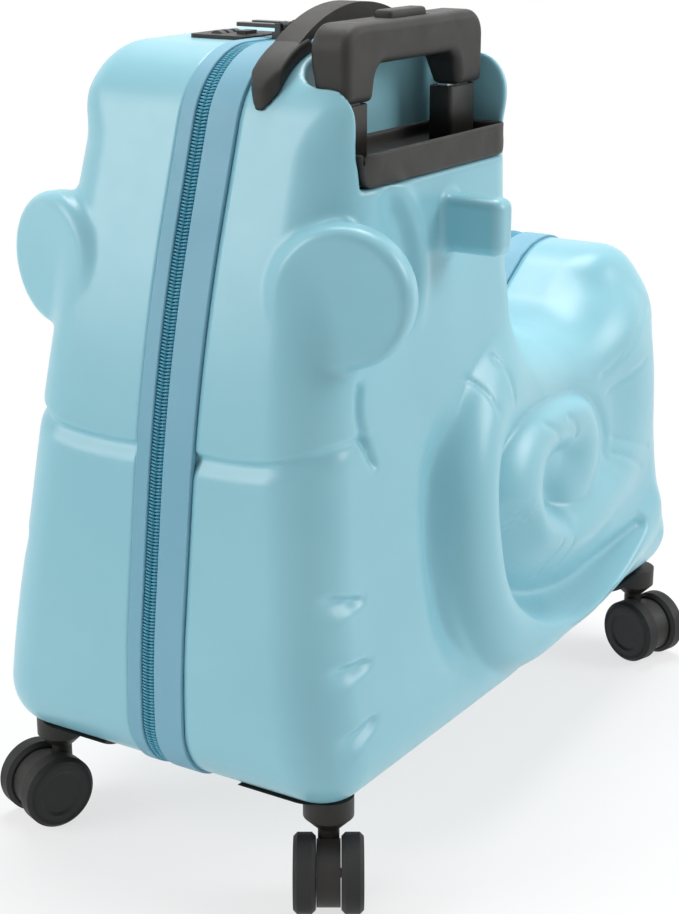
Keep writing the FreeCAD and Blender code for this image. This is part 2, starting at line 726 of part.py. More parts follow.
def make_grip():
    """Trolley grip: an arch with tapering legs, hollow where the button and the rods run."""
    body_wire = rounded_wire([
        (-mm.grip_width / 2 + (mm.grip_leg - mm.grip_leg_foot) / 2, grip_foot, mm.tube_wall),
        (-mm.grip_width / 2, bar_high, mm.grip_corner_radius),
        (mm.grip_width / 2, bar_high, mm.grip_corner_radius),
        (mm.grip_width / 2 - (mm.grip_leg - mm.grip_leg_foot) / 2, grip_foot, mm.tube_wall),
        (mm.grip_width / 2 - (mm.grip_leg + mm.grip_leg_foot) / 2, grip_foot, mm.tube_wall),
        (mm.grip_width / 2 - mm.grip_leg, bar_low, mm.grip_edge_radius),
        (-mm.grip_width / 2 + mm.grip_leg, bar_low, mm.grip_edge_radius),
        (-mm.grip_width / 2 + (mm.grip_leg + mm.grip_leg_foot) / 2, grip_foot, mm.tube_wall),
    ])
    arch = Part.Face(body_wire).extrude(Vector(mm.grip_depth, 0, 0))
    arch.translate(Vector(mm.trolley_x - mm.grip_depth / 2, -mm.pocket_middle_y, 0))
    long_edges = [
        edge for edge in arch.Edges
        if edge.BoundBox.XLength < mm.tube_clearance and edge.BoundBox.ZMin > grip_foot + mm.tube_clearance
    ]
    arch = arch.makeFillet(mm.grip_edge_radius, long_edges)
    slot = mm.button_clearance
    slot_floor = bar_high - mm.button_depth - mm.button_travel - slot
    button_slot = button_block(slot, slot_floor, bar_high + mm.cut_overrun)
    rod_room = [yoke_block(mm.rod_clearance, mm.button_travel)]
    rod_room += rod_blocks(mm.rod_radius + mm.rod_clearance, grip_foot, yoke_low + mm.yoke_height)
    sockets = tube_blocks(inner_width, inner_depth, grip_foot, inner_high)
    return arch.cut([button_slot] + rod_room + sockets)


def button_block(grow, low, high):
    """Grip button, or with room its slot."""
    half_length = mm.button_length / 2 + grow
    half_depth = mm.button_width / 2 + grow
    block = box(
        Vector(mm.trolley_x - half_depth, -mm.pocket_middle_y - half_length, low),
        Vector(mm.trolley_x + half_depth, -mm.pocket_middle_y + half_length, high),
    )
    return block.makeFillet(mm.button_corner_radius, upright(block))


yoke_low = bar_high - mm.button_depth - mm.yoke_height


def yoke_block(grow, travel):
    """Bar under the button that joins the two rods, or with room its slot."""
    reach = mm.tube_spacing / 2 + mm.rod_radius + grow
    return box(
        Vector(mm.trolley_x - mm.yoke_width / 2 - grow, -mm.pocket_middle_y - reach, yoke_low - grow - travel),
        Vector(
            mm.trolley_x + mm.yoke_width / 2 + grow, -mm.pocket_middle_y + reach,
            yoke_low + mm.yoke_height,
        ),
    )


def rod_blocks(radius, low, high):
    """Two upright rods inside the inner tubes."""
    return [
        Part.makeCylinder(radius, high - low, Vector(mm.trolley_x, place, low))
        for place in tube_places
    ]


def make_button():
    low = bar_high - mm.button_depth
    button = button_block(0.0, low, bar_high + mm.button_proud)
    top = [edge for edge in button.Edges if edge.BoundBox.ZMin > bar_high]
    return button.makeFillet(mm.button_proud / 2, top)


def make_push_rods():
    rods = rod_blocks(mm.rod_radius, inner_low + mm.tube_end_gap, yoke_low + mm.yoke_height)
    return yoke_block(0.0, 0.0).fuse(rods)


piece("trolley_tray", make_tray())
piece("trolley_outer_tubes", make_tubes(mm.outer_tube_width, mm.outer_tube_depth, outer_low, outer_high))
piece("trolley_foot", make_foot())
piece("trolley_middle_tubes", make_tubes(middle_width, middle_depth, middle_low, middle_high))
piece("trolley_inner_tubes", make_tubes(inner_width, inner_depth, inner_low, inner_high))
piece("trolley_grip", make_grip())
piece("trolley_button", make_button())
piece("trolley_push_rods", make_push_rods())


# Carry handle

carry_front = -mm.carry_middle_y - mm.carry_span / 2
carry_rear = -mm.carry_middle_y + mm.carry_span / 2


def carry_base(y_from):
    """End block that follows the rounded top of the right shell, with bevelled edges."""
    x_from = mm.carry_x - mm.carry_base_width / 2
    x_to = mm.carry_x + mm.carry_base_width / 2
    band = outline_ring(mm.carry_base_thickness, 0.0, x_from, x_to)
    block = band.common(box(
        Vector(x_from, y_from, case_bottom),
        Vector(x_to, y_from + mm.carry_base_length, case_top + mm.cut_overrun),
    ))
    outer = outline_slab(mm.carry_base_thickness - mm.coil_gap, x_from, x_to)
    rim = [
        edge for edge in block.Edges
        if edge.distToShape(outer)[0] > mm.coil_gap / 2
    ]
    return block.makeChamfer(mm.carry_base_edge, rim)


def strap_arc(drop, span):
    """Arc of the carry strap, lowered by a depth, over a span about its middle."""
    top = case_top + mm.carry_rise
    end = case_top - mm.strap_end_drop
    reach = mm.carry_span / 2 - mm.carry_base_length / 2
    whole = Part.Arc(
        Vector(0, -reach, end), Vector(0, 0, top), Vector(0, reach, end),
    ).toShape().Curve
    radius = whole.Radius - drop
    places = (-span / 2, 0.0, span / 2)
    return [
        Vector(0, place - mm.carry_middle_y, whole.Center.z + math.sqrt(radius ** 2 - place ** 2))
        for place in places
    ]


def lens(upper, lower, width):
    """Solid between two arcs, across the case at the carry handle."""
    edges = [Part.Arc(*upper).toShape(), Part.Arc(*lower).toShape()]
    for start, end in ((upper[0], lower[0]), (upper[-1], lower[-1])):
        if start.distanceToPoint(end) > mm.coil_gap:
            edges.append(Part.LineSegment(start, end).toShape())
    made = Part.Face(Part.Wire(Part.__sortEdges__(edges))).extrude(Vector(width, 0, 0))
    made.translate(Vector(mm.carry_x - width / 2, 0, 0))
    return made


front_base = carry_base(carry_front)
rear_base = carry_base(carry_rear - mm.carry_base_length)
strap_span = mm.carry_span - mm.carry_base_length
strap = lens(strap_arc(0.0, strap_span), strap_arc(mm.strap_thickness, strap_span), mm.strap_width)
pad_top = strap_arc(mm.strap_thickness, mm.pad_length)
pad_bottom = [pad_top[0], pad_top[1] - Vector(0, 0, mm.pad_thickness), pad_top[2]]
piece("carry_base_front", front_base)
piece("carry_base_rear", rear_base)
piece("carry_strap", strap.cut([front_base, rear_base, solid_half]))
piece("carry_grip_pad", lens(pad_top, pad_bottom, mm.strap_width))


# Zip sliders and pulls

slider_bottom = case_top + mm.coil_proud + mm.slider_lift
slider_top = slider_bottom + mm.slider_height
bail_z = slider_top + mm.bail_height


def make_slider(y_middle):
    """Slider body on the coil, with the pin that carries the pull between two ears."""
    half_length = mm.slider_length / 2
    half_width_across = mm.slider_width / 2
    body = box(
        Vector(-half_width_across, y_middle - half_length, slider_bottom),
        Vector(half_width_across, y_middle + half_length, slider_top),
    )
    body = body.makeFillet(mm.slider_corner_radius, upright(body))
    pin = Part.makeCylinder(
        mm.bail_radius, mm.slider_length, Vector(0, y_middle - half_length, bail_z), Y_AXIS,
    )
    ears = [
        box(
            Vector(-mm.bail_ear, y_middle + side - mm.bail_ear / 2, slider_top),
            Vector(mm.bail_ear, y_middle + side + mm.bail_ear / 2, bail_z + mm.bail_ear),
        )
        for side in (mm.bail_ear / 2 - half_length, half_length - mm.bail_ear / 2)
    ]
    return body.fuse([pin] + ears)


def make_pull(y_middle):
    """Flat pull that hangs on the slider's pin and lies over the lock."""
    half = mm.pull_width / 2
    eye = Part.makeCylinder(mm.pull_eye_radius, mm.pull_width, Vector(0, y_middle - half, bail_z), Y_AXIS)
    tab = box(
        Vector(-mm.pull_length, y_middle - half, bail_z - mm.pull_thickness / 2),
        Vector(0, y_middle + half, bail_z + mm.pull_thickness / 2),
    )
    tip = [edge for edge in upright(tab) if edge.BoundBox.XMax < -mm.pull_width]
    tab = tab.makeFillet(mm.pull_tip_radius, tip)
    bore = Part.makeCylinder(
        mm.bail_radius + mm.bail_clearance, mm.slider_length, Vector(0, y_middle - mm.slider_length / 2, bail_z),
        Y_AXIS,
    )
    return eye.fuse(tab).cut(bore)


for end_name, side in (("front", -1), ("rear", 1)):
    slider_y = -mm.slider_middle_y + side * mm.slider_spacing / 2
    piece(f"zip_slider_{end_name}", make_slider(slider_y))
    piece(f"zip_pull_{end_name}", make_pull(slider_y))


# Combination lock

dial_x = -mm.lock_start - mm.dial_setback
dial_z = case_top + mm.lock_plate + mm.dial_proud - mm.dial_radius
dial_places = [-mm.slider_middle_y + step * mm.dial_spacing for step in (-1, 0, 1)]


def dial_block(radius, width, y_middle):
    """A disc on the dials' shaft."""
    return Part.makeCylinder(radius, width, Vector(dial_x, y_middle - width / 2, dial_z), Y_AXIS)


def make_lock_case():
    """Plate on the shell and body below it, with a slot and a shaft for the dials."""
    plate = box(
        lock_low, Vector(-mm.lock_start, lock_low.y + mm.lock_length, case_top + mm.lock_plate),
    )
    plate = plate.makeFillet(mm.lock_corner_radius, upright(plate))
    room = 2 * mm.dial_clearance
    slots = [dial_block(mm.dial_radius + mm.dial_clearance, mm.dial_width + room, at) for at in dial_places]
    shaft_length = mm.lock_length - 2 * mm.lock_flange
    shaft = dial_block(mm.dial_shaft_radius, shaft_length, -mm.slider_middle_y)
    return plate.fuse(lock_well(0.0)).cut(slots).fuse(shaft)


def make_lock_button():
    button = box(
        Vector(
            -mm.lock_start - mm.catch_setback - mm.catch_width / 2, -mm.slider_middle_y - mm.catch_length / 2,
            case_top + mm.lock_plate + mm.catch_lift,
        ),
        Vector(
            -mm.lock_start - mm.catch_setback + mm.catch_width / 2, -mm.slider_middle_y + mm.catch_length / 2,
            case_top + mm.lock_plate + mm.catch_lift + mm.catch_height,
        ),
    )
    return button.makeFillet(mm.catch_corner_radius, upright(button))


piece("lock_case", make_lock_case())
piece("lock_button", make_lock_button())
for number, place in enumerate(dial_places, start=1):
    dial = new_body(f"lock_dial_{number}", Placement(Vector(dial_x, place, dial_z), Rotation(X_AXIS, -90)))
    bore_radius = cell.dial_shaft_radius + cell.shaft_clearance
    half = cell.dial_width / 2
    revolve(dial, [
        (bore_radius, -half), (cell.dial_radius, -half), (cell.dial_radius, half), (bore_radius, half),
    ])


# Casters

plate_skin = case_block(mm.plate_thickness).cut(solid_half)


def make_caster_mount(side, end):
    """Corner plate that wraps the shell's lower corner, with the cup that holds a swivel stem."""
    corner = box(
        Vector(mm.plate_inner_x, mm.plate_inner_y, 0),
        Vector(far_x, mm.case_length, case_bottom + mm.plate_wrap),
    )
    if end < 0:
        corner = corner.mirror(Vector(), Y_AXIS)
    axis = Vector(mm.caster_x, end * mm.caster_y, case_bottom - mm.cup_drop)
    profile = Part.makePolygon([
        Vector(0, 0, 0),
        Vector(mm.cup_nose_radius, 0, 0),
        Vector(mm.cup_radius, 0, mm.cup_dome),
        Vector(mm.cup_radius, 0, mm.cup_drop + mm.plate_wrap),
        Vector(0, 0, mm.cup_drop + mm.plate_wrap),
        Vector(0, 0, 0),
    ])
    cup = Part.Face(profile).revolve(Vector(), Z_AXIS, 360)
    cup.translate(axis)
    bore = Part.makeCylinder(mm.stem_radius + mm.stem_clearance, mm.stem_length + mm.neck_gap, axis)
    made = plate_skin.common(corner).fuse(cup.cut(solid_half)).cut(bore)
    return made if side > 0 else mirrored(made)


def make_fork(label, placement):
    """Round body between the wheels, with a neck and the swivel stem above it."""
    body = new_body(label, placement)
    neck_top = cell.ground_clearance - cell.cup_drop - cell.neck_gap
    stem_top = neck_top + cell.stem_length
    revolve(body, [
        (ZERO, cell.wheel_radius), (cell.neck_radius, cell.wheel_radius), (cell.neck_radius, neck_top),
        (cell.stem_radius, neck_top), (cell.stem_radius, stem_top), (ZERO, stem_top),
    ])
    round_pad(body, cell.fork_radius, cell.fork_width)
    bore = body.newObject("PartDesign::Pocket", f"{body.Name}_bore")
    bore.Profile = round_sketch(body, cell.axle_radius)
    bore.Type = "ThroughAll"
    bore.SideType = "Symmetric"
    return body


def round_sketch(body, radius):
    """Circle about the axle, on the body's upright plane."""
    sketch = body.newObject("Sketcher::SketchObject", f"{body.Name}_round")
    plane = next(item for item in body.Origin.OriginFeatures if item.Role == "YZ_Plane")
    sketch.AttachmentSupport = [(plane, "")]
    sketch.MapMode = "FlatFace"
    middle = Vector(-mm.caster_trail, mm.wheel_radius, 0)
    sketch.addGeometry(Part.Circle(middle, Z_AXIS, radius.value))
    bound = (
        (Sketcher.Constraint("Radius", 0, radius.value), radius),
        (Sketcher.Constraint("DistanceX", -1, 1, 0, 3, middle.x), -cell.caster_trail),
        (Sketcher.Constraint("DistanceY", -1, 1, 0, 3, middle.y), cell.wheel_radius),
    )
    for constraint, length in bound:
        made = sketch.addConstraint(constraint)
        sketch.setExpression(f"Constraints[{made}]", length.text)
    return sketch


def round_pad(body, radius, width):
    """Disc about the axle, evenly to both sides of the fork's middle."""
    made = body.newObject("PartDesign::Pad", f"{body.Name}_disc")
    made.Profile = round_sketch(body, radius)
    made.SideType = "Symmetric"
    made.setExpression("Length", width.text)
    return made


def wheel_placement(placement, outward):
    """Frame of one wheel: its own Z runs outwards along the axle from the wheel's inner face."""
    inner_face = (mm.fork_width / 2 + mm.wheel_gap) * outward
    local = Placement(
        Vector(inner_face, -mm.caster_trail, mm.wheel_radius), Rotation(Y_AXIS, 90 * outward),
    )
    return placement.multiply(local)


def make_hub(label, placement):
    """Hub with a blind bore for the axle and a shallow hollow in its outer face."""
    body = new_body(label, placement)
    bore = cell.axle_radius + cell.axle_clearance
    blind = cell.wheel_width - cell.axle_end_gap
    outer = cell.wheel_radius - cell.tyre_depth
    dish = cell.wheel_width - cell.hub_dish
    revolve(body, [
        (bore, ZERO), (outer, ZERO), (outer, cell.wheel_width), (outer - cell.hub_rim, cell.wheel_width),
        (outer - cell.hub_rim - cell.hub_bevel, dish), (ZERO, dish), (ZERO, blind), (bore, blind),
    ])
    return body


def make_tyre(label, placement):
    """Tyre round a hub, its outer edges bevelled."""
    body = new_body(label, placement)
    inner = cell.wheel_radius - cell.tyre_depth
    edge = cell.tyre_edge_radius
    revolve(body, [
        (inner, ZERO), (cell.wheel_radius - edge, ZERO), (cell.wheel_radius, edge),
        (cell.wheel_radius, cell.wheel_width - edge), (cell.wheel_radius - edge, cell.wheel_width),
        (inner, cell.wheel_width),
    ])
    return body


def make_axle(label, placement):
    """Steel pin through the fork into both hubs."""
    body = new_body(label, placement)
    wheel_reach = cell.wheel_gap + cell.wheel_width - cell.axle_end_gap - cell.wheel_gap
    round_pad(body, cell.axle_radius, cell.fork_width + wheel_reach * 2)
    return body


for name, (side, end, swivel) in CASTERS.items():
    piece(f"{name}_caster_mount", make_caster_mount(side, end))
    stand = Placement(Vector(side * mm.caster_x, end * mm.caster_y, 0), Rotation(Z_AXIS, swivel))
    make_fork(f"{name}_caster_fork", stand)
    make_axle(f"{name}_caster_axle", stand)
    for wheel, outward in (("inner", -1), ("outer", 1)):
        place = wheel_placement(stand, outward)
        make_hub(f"{name}_{wheel}_hub", place)
        make_tyre(f"{name}_{wheel}_tyre", place)


# Checks and files

doc.recompute()
for item in doc.Objects:
    if "Invalid" in item.State or "Error" in item.State:
        raise RuntimeError(f"{item.Label} failed: {item.State}")
for item in pieces:
    if item.Shape.isNull() or not item.Shape.isValid() or not item.Shape.Solids:
        raise RuntimeError(f"{item.Label} has no sound shape")

os.makedirs("parts", exist_ok=True)
for item in pieces:
    item.Shape.exportStep(f"parts/{item.Label}.step")
    solids = len(item.Shape.Solids)
    print(f"{item.Label}: {solids} solid(s), {item.Shape.Volume / 1000:.1f} cm3")
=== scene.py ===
# %% [markdown]
# # A ride-on suitcase
# The case has two moulded shells that close on a zip, four casters, a trolley handle and a carry handle.
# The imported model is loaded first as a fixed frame. Each new piece is put where that frame says, in metres,
# and rides on one of its bodies. All shapes below are worked out in millimetres and scaled once at the end.

# %% Load the frame
import bmesh
import bpy
import math
import numpy as np
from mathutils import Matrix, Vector


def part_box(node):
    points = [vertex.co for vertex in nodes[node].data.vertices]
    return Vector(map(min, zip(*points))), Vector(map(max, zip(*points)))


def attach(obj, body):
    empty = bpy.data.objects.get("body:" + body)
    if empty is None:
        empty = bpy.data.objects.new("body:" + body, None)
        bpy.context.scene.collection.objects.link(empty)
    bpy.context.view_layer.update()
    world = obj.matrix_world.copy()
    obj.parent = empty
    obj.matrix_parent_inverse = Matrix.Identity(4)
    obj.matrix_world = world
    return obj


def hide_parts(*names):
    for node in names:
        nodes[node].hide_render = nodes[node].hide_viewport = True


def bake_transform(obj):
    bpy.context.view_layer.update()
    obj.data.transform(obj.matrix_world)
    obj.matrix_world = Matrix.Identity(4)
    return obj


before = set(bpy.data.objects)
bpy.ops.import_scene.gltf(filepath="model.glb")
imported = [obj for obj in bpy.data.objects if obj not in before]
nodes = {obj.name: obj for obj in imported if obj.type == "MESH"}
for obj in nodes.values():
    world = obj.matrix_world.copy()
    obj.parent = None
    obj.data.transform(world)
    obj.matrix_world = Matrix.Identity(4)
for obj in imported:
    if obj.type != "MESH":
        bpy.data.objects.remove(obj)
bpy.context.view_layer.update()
MM = 0.001

# %% [markdown]
# ## Finishes
# Nearly every surface here is moulded plastic. Real mouldings are never one flat colour: the colour drifts a
# little over a hand's width, the gloss is cloudy, and a fine grain breaks up reflections. A picture of plastic could
# give that, but it would need unwrapping and would smear over the rolls. So each finish is a noise for the colour, a
# second noise for the roughness and a fine bump, all on Object coordinates.

# %% Helpers for finishes
NOISE_SPREAD = (0.3, 0.7)


def new_finish(name):
    material = bpy.data.materials.new(name)
    material.use_nodes = True
    tree = material.node_tree
    place = tree.nodes.new("ShaderNodeTexCoord").outputs["Object"]
    return material, tree, tree.nodes["Principled BSDF"], place


def cloud(tree, place, scale, detail=3.0, stretch=None):
    if stretch:
        mapping = tree.nodes.new("ShaderNodeMapping")
        mapping.inputs["Scale"].default_value = stretch
        tree.links.new(place, mapping.inputs["Vector"])
        place = mapping.outputs["Vector"]
    noise = tree.nodes.new("ShaderNodeTexNoise")
    noise.inputs["Scale"].default_value = scale
    noise.inputs["Detail"].default_value = detail
    tree.links.new(place, noise.inputs["Vector"])
    return noise.outputs["Fac"]


def colour_drift(tree, shader, factor, low, high, spread=NOISE_SPREAD):
    ramp = tree.nodes.new("ShaderNodeValToRGB")
    for element, at, colour in zip(ramp.color_ramp.elements, spread, (low, high)):
        element.position = at
        element.color = (*colour, 1)
    tree.links.new(factor, ramp.inputs["Fac"])
    tree.links.new(ramp.outputs["Color"], shader.inputs["Base Color"])


def gloss_drift(tree, shader, factor, low, high):
    span = tree.nodes.new("ShaderNodeMapRange")
    span.inputs["From Min"].default_value, span.inputs["From Max"].default_value = NOISE_SPREAD
    span.inputs["To Min"].default_value = low
    span.inputs["To Max"].default_value = high
    tree.links.new(factor, span.inputs["Value"])
    tree.links.new(span.outputs["Result"], shader.inputs["Roughness"])


def grain(tree, shader, height, depth):
    bump = tree.nodes.new("ShaderNodeBump")
    bump.inputs["Distance"].default_value = depth
    bump.inputs["Strength"].default_value = 1.0
    tree.links.new(height, bump.inputs["Height"])
    tree.links.new(bump.outputs["Normal"], shader.inputs["Normal"])


print("noise from", *NOISE_SPREAD, "carries each finish's drift")

# %% Moulded finishes
DRIFT_SCALE, GLOSS_SCALE, GRAIN_DETAIL = 9.0, 60.0, 2.0
COAT_ROUGHNESS = 0.25


def moulded(name, low, high, rough, grain_scale, grain_depth, specular=0.5, coat=0.0):
    material, tree, shader, place = new_finish(name)
    colour_drift(tree, shader, cloud(tree, place, DRIFT_SCALE), low, high)
    gloss_drift(tree, shader, cloud(tree, place, GLOSS_SCALE), *rough)
    grain(tree, shader, cloud(tree, place, grain_scale, GRAIN_DETAIL), grain_depth)
    shader.inputs["Specular IOR Level"].default_value = specular
    shader.inputs["Coat Weight"].default_value = coat
    shader.inputs["Coat Roughness"].default_value = COAT_ROUGHNESS
    return material


shell_blue = moulded("shell_blue", (0.275, 0.585, 0.685), (0.305, 0.625, 0.720), (0.30, 0.36), 2600, 0.00004,
                     specular=0.45, coat=0.12)
band_blue = moulded("band_blue", (0.185, 0.430, 0.560), (0.215, 0.465, 0.595), (0.48, 0.56), 3200, 0.00008)
black_plastic = moulded("black_plastic", (0.017, 0.016, 0.015), (0.024, 0.022, 0.020), (0.40, 0.52), 5200, 0.00012,
                        specular=0.35)
hub_black = moulded("hub_black", (0.012, 0.012, 0.012), (0.018, 0.018, 0.018), (0.34, 0.44), 3600, 0.00006,
                    specular=0.35)
handle_rubber = moulded("handle_rubber", (0.017, 0.016, 0.015), (0.025, 0.023, 0.021), (0.50, 0.62), 4200, 0.00014,
                        specular=0.35)
tyre_grey = moulded("tyre_grey", (0.018, 0.018, 0.018), (0.028, 0.028, 0.028), (0.55, 0.70), 2400, 0.00012,
                    specular=0.3)
dark_metal = moulded("dark_metal", (0.020, 0.020, 0.020), (0.030, 0.030, 0.030), (0.28, 0.38), 3000, 0.00004)
dial_plastic = moulded("dial_plastic", (0.030, 0.030, 0.030), (0.042, 0.041, 0.040), (0.35, 0.45), 3600, 0.00006)
coil_nylon = moulded("coil_nylon", (0.060, 0.330, 0.470), (0.085, 0.390, 0.530), (0.32, 0.42), 5200, 0.00005)
print("materials so far:", len(bpy.data.materials))

# %% [markdown]
# The trolley's tubes are drawn aluminium, and its rods and the axles are steel. Drawing leaves fine streaks along the
# metal. One noise that is stretched along the tube gives them for any length, so it drives the colour, the gloss and
# the bump together.

# %% Metal finishes
STREAK_SCALE, STREAK_DETAIL, STREAK_DEPTH = 900.0, 4.0, 0.00003


def drawn_metal(name, low, high, rough, stretch):
    material, tree, shader, place = new_finish(name)
    streak = cloud(tree, place, STREAK_SCALE, STREAK_DETAIL, stretch)
    colour_drift(tree, shader, streak, low, high)
    gloss_drift(tree, shader, streak, *rough)
    grain(tree, shader, streak, STREAK_DEPTH)
    shader.inputs["Metallic"].default_value = 1.0
    return material


tube_aluminium = drawn_metal("tube_aluminium", (0.52, 0.53, 0.55), (0.66, 0.67, 0.69), (0.26, 0.38), (1, 1, 0.02))
steel = drawn_metal("steel", (0.42, 0.42, 0.43), (0.58, 0.58, 0.59), (0.28, 0.4), (1, 1, 0.1))
print("metal finishes made")

# %% [markdown]
# Cloth shows its threads when you lean in. Two sets of fine bands, one along each axis of the cloth, make a plain
# weave: where one is high the other dips under it. The same tree serves the zip tape and the hinge strip.

# %% Woven finishes
THREAD_WANDER, THREAD_DEPTH = 0.4, 0.0002
WEAVE_SPREAD = (0.2, 0.9)


def woven(name, low, high, threads):
    material, tree, shader, place = new_finish(name)
    over = tree.nodes.new("ShaderNodeMath")
    over.operation = "MAXIMUM"
    for direction, socket in zip(("X", "Y"), over.inputs):
        wave = tree.nodes.new("ShaderNodeTexWave")
        wave.bands_direction = direction
        wave.inputs["Scale"].default_value = threads
        wave.inputs["Distortion"].default_value = THREAD_WANDER
        tree.links.new(place, wave.inputs["Vector"])
        tree.links.new(wave.outputs["Fac"], socket)
    colour_drift(tree, shader, over.outputs[0], low, high, WEAVE_SPREAD)
    grain(tree, shader, over.outputs[0], THREAD_DEPTH)
    shader.inputs["Roughness"].default_value = 0.85
    shader.inputs["Sheen Weight"].default_value = 0.25
    return material


tape_cloth = woven("tape_cloth", (0.055, 0.240, 0.350), (0.100, 0.360, 0.480), 420)
hinge_cloth = woven("hinge_cloth", (0.070, 0.215, 0.300), (0.130, 0.330, 0.430), 320)
print("woven finishes made")

# %% [markdown]
# ## The moulded shells
# A moulded shell has no sharp joints: every roll, disc and peg flows into the next. Meshing that by hand would mean
# hundreds of blended patches. A signed distance field does it in a few lines: each form is a function that is
# negative inside, forms join with a smooth minimum, and hollows are taken away with a smooth maximum. The surface is
# then the zero level, found on a grid by surface nets. First comes the outline seen from the side: corners as shares
# of the case's length and height, each with the radius that rounds it.

# %% Outline of the case
CASE_LENGTH, CASE_HEIGHT, CASE_FOOT = 539.0, 447.0, 68.0
OUTLINE_SHARES = [
    (-0.500, 0.000, 0.078), (-0.500, 0.183, 0.929), (-0.456, 0.604, 1.659), (-0.349, 1.000, 0.108),
    (0.026, 1.000, 0.093), (0.026, 0.519, 0.148), (0.232, 0.517, 0.130), (0.343, 0.604, 0.130),
    (0.5086, 0.613, 0.107), (0.4836, 0.206, 0.166), (0.5123, 0.000, 0.078),
]


def unit(v):
    return v / np.linalg.norm(v)


def outline_arcs():
    corners = np.array([(CASE_LENGTH * y, CASE_FOOT + CASE_HEIGHT * z) for y, z, _ in OUTLINE_SHARES])
    arcs = []
    for i, (_, _, share) in enumerate(OUTLINE_SHARES):
        radius = CASE_LENGTH * share
        back = unit(corners[i - 1] - corners[i])
        ahead = unit(corners[(i + 1) % len(corners)] - corners[i])
        half = math.acos(np.dot(back, ahead)) / 2
        centre = corners[i] + unit(back + ahead) * radius / math.sin(half)
        reach = radius / math.tan(half)
        convex = back[0] * ahead[1] - back[1] * ahead[0] > 0
        arcs.append((corners[i] + back * reach, corners[i] + ahead * reach, centre, radius, convex))
    return arcs


ARCS = outline_arcs()
print("outline arcs:", len(ARCS))

# %% Distance from the outline
FAR = 1e9


def outline_distance(y, z):
    best = np.full(y.shape, FAR)
    signed = np.zeros(y.shape)
    for i, (start, end, centre, radius, convex) in enumerate(ARCS):
        along = ARCS[(i + 1) % len(ARCS)][0] - end
        length = np.linalg.norm(along)
        ty, tz = along / length
        ry, rz = y - end[0], z - end[1]
        run = np.clip(ry * ty + rz * tz, 0, length)
        gap = np.hypot(ry - run * ty, rz - run * tz)
        nearer = gap < best
        best = np.where(nearer, gap, best)
        signed = np.where(nearer, np.where(rz * ty - ry * tz > 0, gap, -gap), signed)
        middle = unit((start + end) / 2 - centre)
        spread = np.dot(unit(start - centre), middle)
        ry, rz = y - centre[0], z - centre[1]
        reach = np.hypot(ry, rz)
        gap = np.abs(reach - radius)
        nearer = (gap < best) & (ry * middle[0] + rz * middle[1] >= reach * spread)
        best = np.where(nearer, gap, best)
        signed = np.where(nearer, (reach - radius) * (1 if convex else -1), signed)
    return signed


print("inside test", float(outline_distance(np.array([0.0]), np.array([200.0]))[0]))

# %% [markdown]
# Seen from the front, each side flares to the foot in one shallow arc, so a circle through three places gives the
# half width at any height. The helpers after it join, cut and round the fields.

# %% Sides of the case
SIDE = ((141.0, 68.0), (115.0, 270.0), (104.0, 515.0))


def circle_through(a, b, c):
    rows = np.array([[2 * (p[0] - a[0]), 2 * (p[1] - a[1])] for p in (b, c)])
    right = np.array([p[0] ** 2 + p[1] ** 2 - a[0] ** 2 - a[1] ** 2 for p in (b, c)])
    centre = np.linalg.solve(rows, right)
    return centre, float(np.hypot(*(centre - a)))


SIDE_CENTRE, SIDE_RADIUS = circle_through(*(np.array(p) for p in SIDE))


def half_width(z):
    return SIDE_CENTRE[0] - np.sqrt(SIDE_RADIUS ** 2 - (z - SIDE_CENTRE[1]) ** 2)


print("side radius", round(SIDE_RADIUS, 1), "half width at the waist", round(float(half_width(SIDE[1][1])), 1))

# %% Joining fields
def smooth_min(a, b, k):
    h = np.maximum(k - np.abs(a - b), 0) / k
    return np.minimum(a, b) - h * h * k / 4


def smooth_max(a, b, k):
    return -smooth_min(-a, -b, k)


def ease(value, low, high):
    t = np.clip((value - low) / (high - low), 0, 1)
    return t * t * (3 - 2 * t)


def rounded_pair(a, b, radius):
    return np.minimum(np.maximum(a, b), 0) + np.hypot(np.maximum(a, 0), np.maximum(b, 0)) - radius


def rounded_both(a, b, radius):
    return rounded_pair(a + radius, b + radius, radius)


print("two faces that meet, joined over 4 mm:", float(smooth_min(np.array(0.0), np.array(0.0), 4.0)), "mm")

# %% [markdown]
# The spiral is one long roll that winds in from the foot of the case. Each row of the table gives a place on its
# middle line, its half width and its rise over the side, and a smooth curve through the rows gives a few hundred
# balls. The side is kept as a map of heights: at each place the highest ball wins, and flanks steeper than a limit go
# on as straight slopes, so that a mould could still let go of them.

# %% Spiral roll
ROLL_ROWS = [
    (80, 190, 22, 6), (90, 203, 26, 9), (91, 222, 25, 11), (74, 238, 22, 12.5), (40, 243, 21, 14),
    (2, 237, 27, 17), (-22, 210, 36, 20), (-8, 172, 34, 17), (40, 153, 26, 13), (100, 159, 23, 10), (150, 170, 21, 6),
    (184, 193, 26, 4), (194, 235, 34, 6), (168, 272, 38, 8), (105, 283, 38, 8.5), (30, 283, 38, 8),
    (-28, 279, 35, 12), (-64, 262, 30, 18), (-84, 228, 28, 22), (-83, 183, 28, 21), (-70, 144, 27, 18.5),
    (-42, 117, 27, 16.5), (4, 104, 27, 15), (70, 97, 26, 13.5), (135, 102, 22, 8.5), (185, 116, 16, 4.5),
    (216, 132, 11, 2),
]
BALLS_PER_ROW, BALL_REACH = 24, 70
FLANK_LIMIT = math.radians(62)
CELL = 2.0
MAP_Y, MAP_Z = np.meshgrid(np.arange(-290.0, 304.0, CELL), np.arange(20.0, 544.0, CELL), indexing="ij")


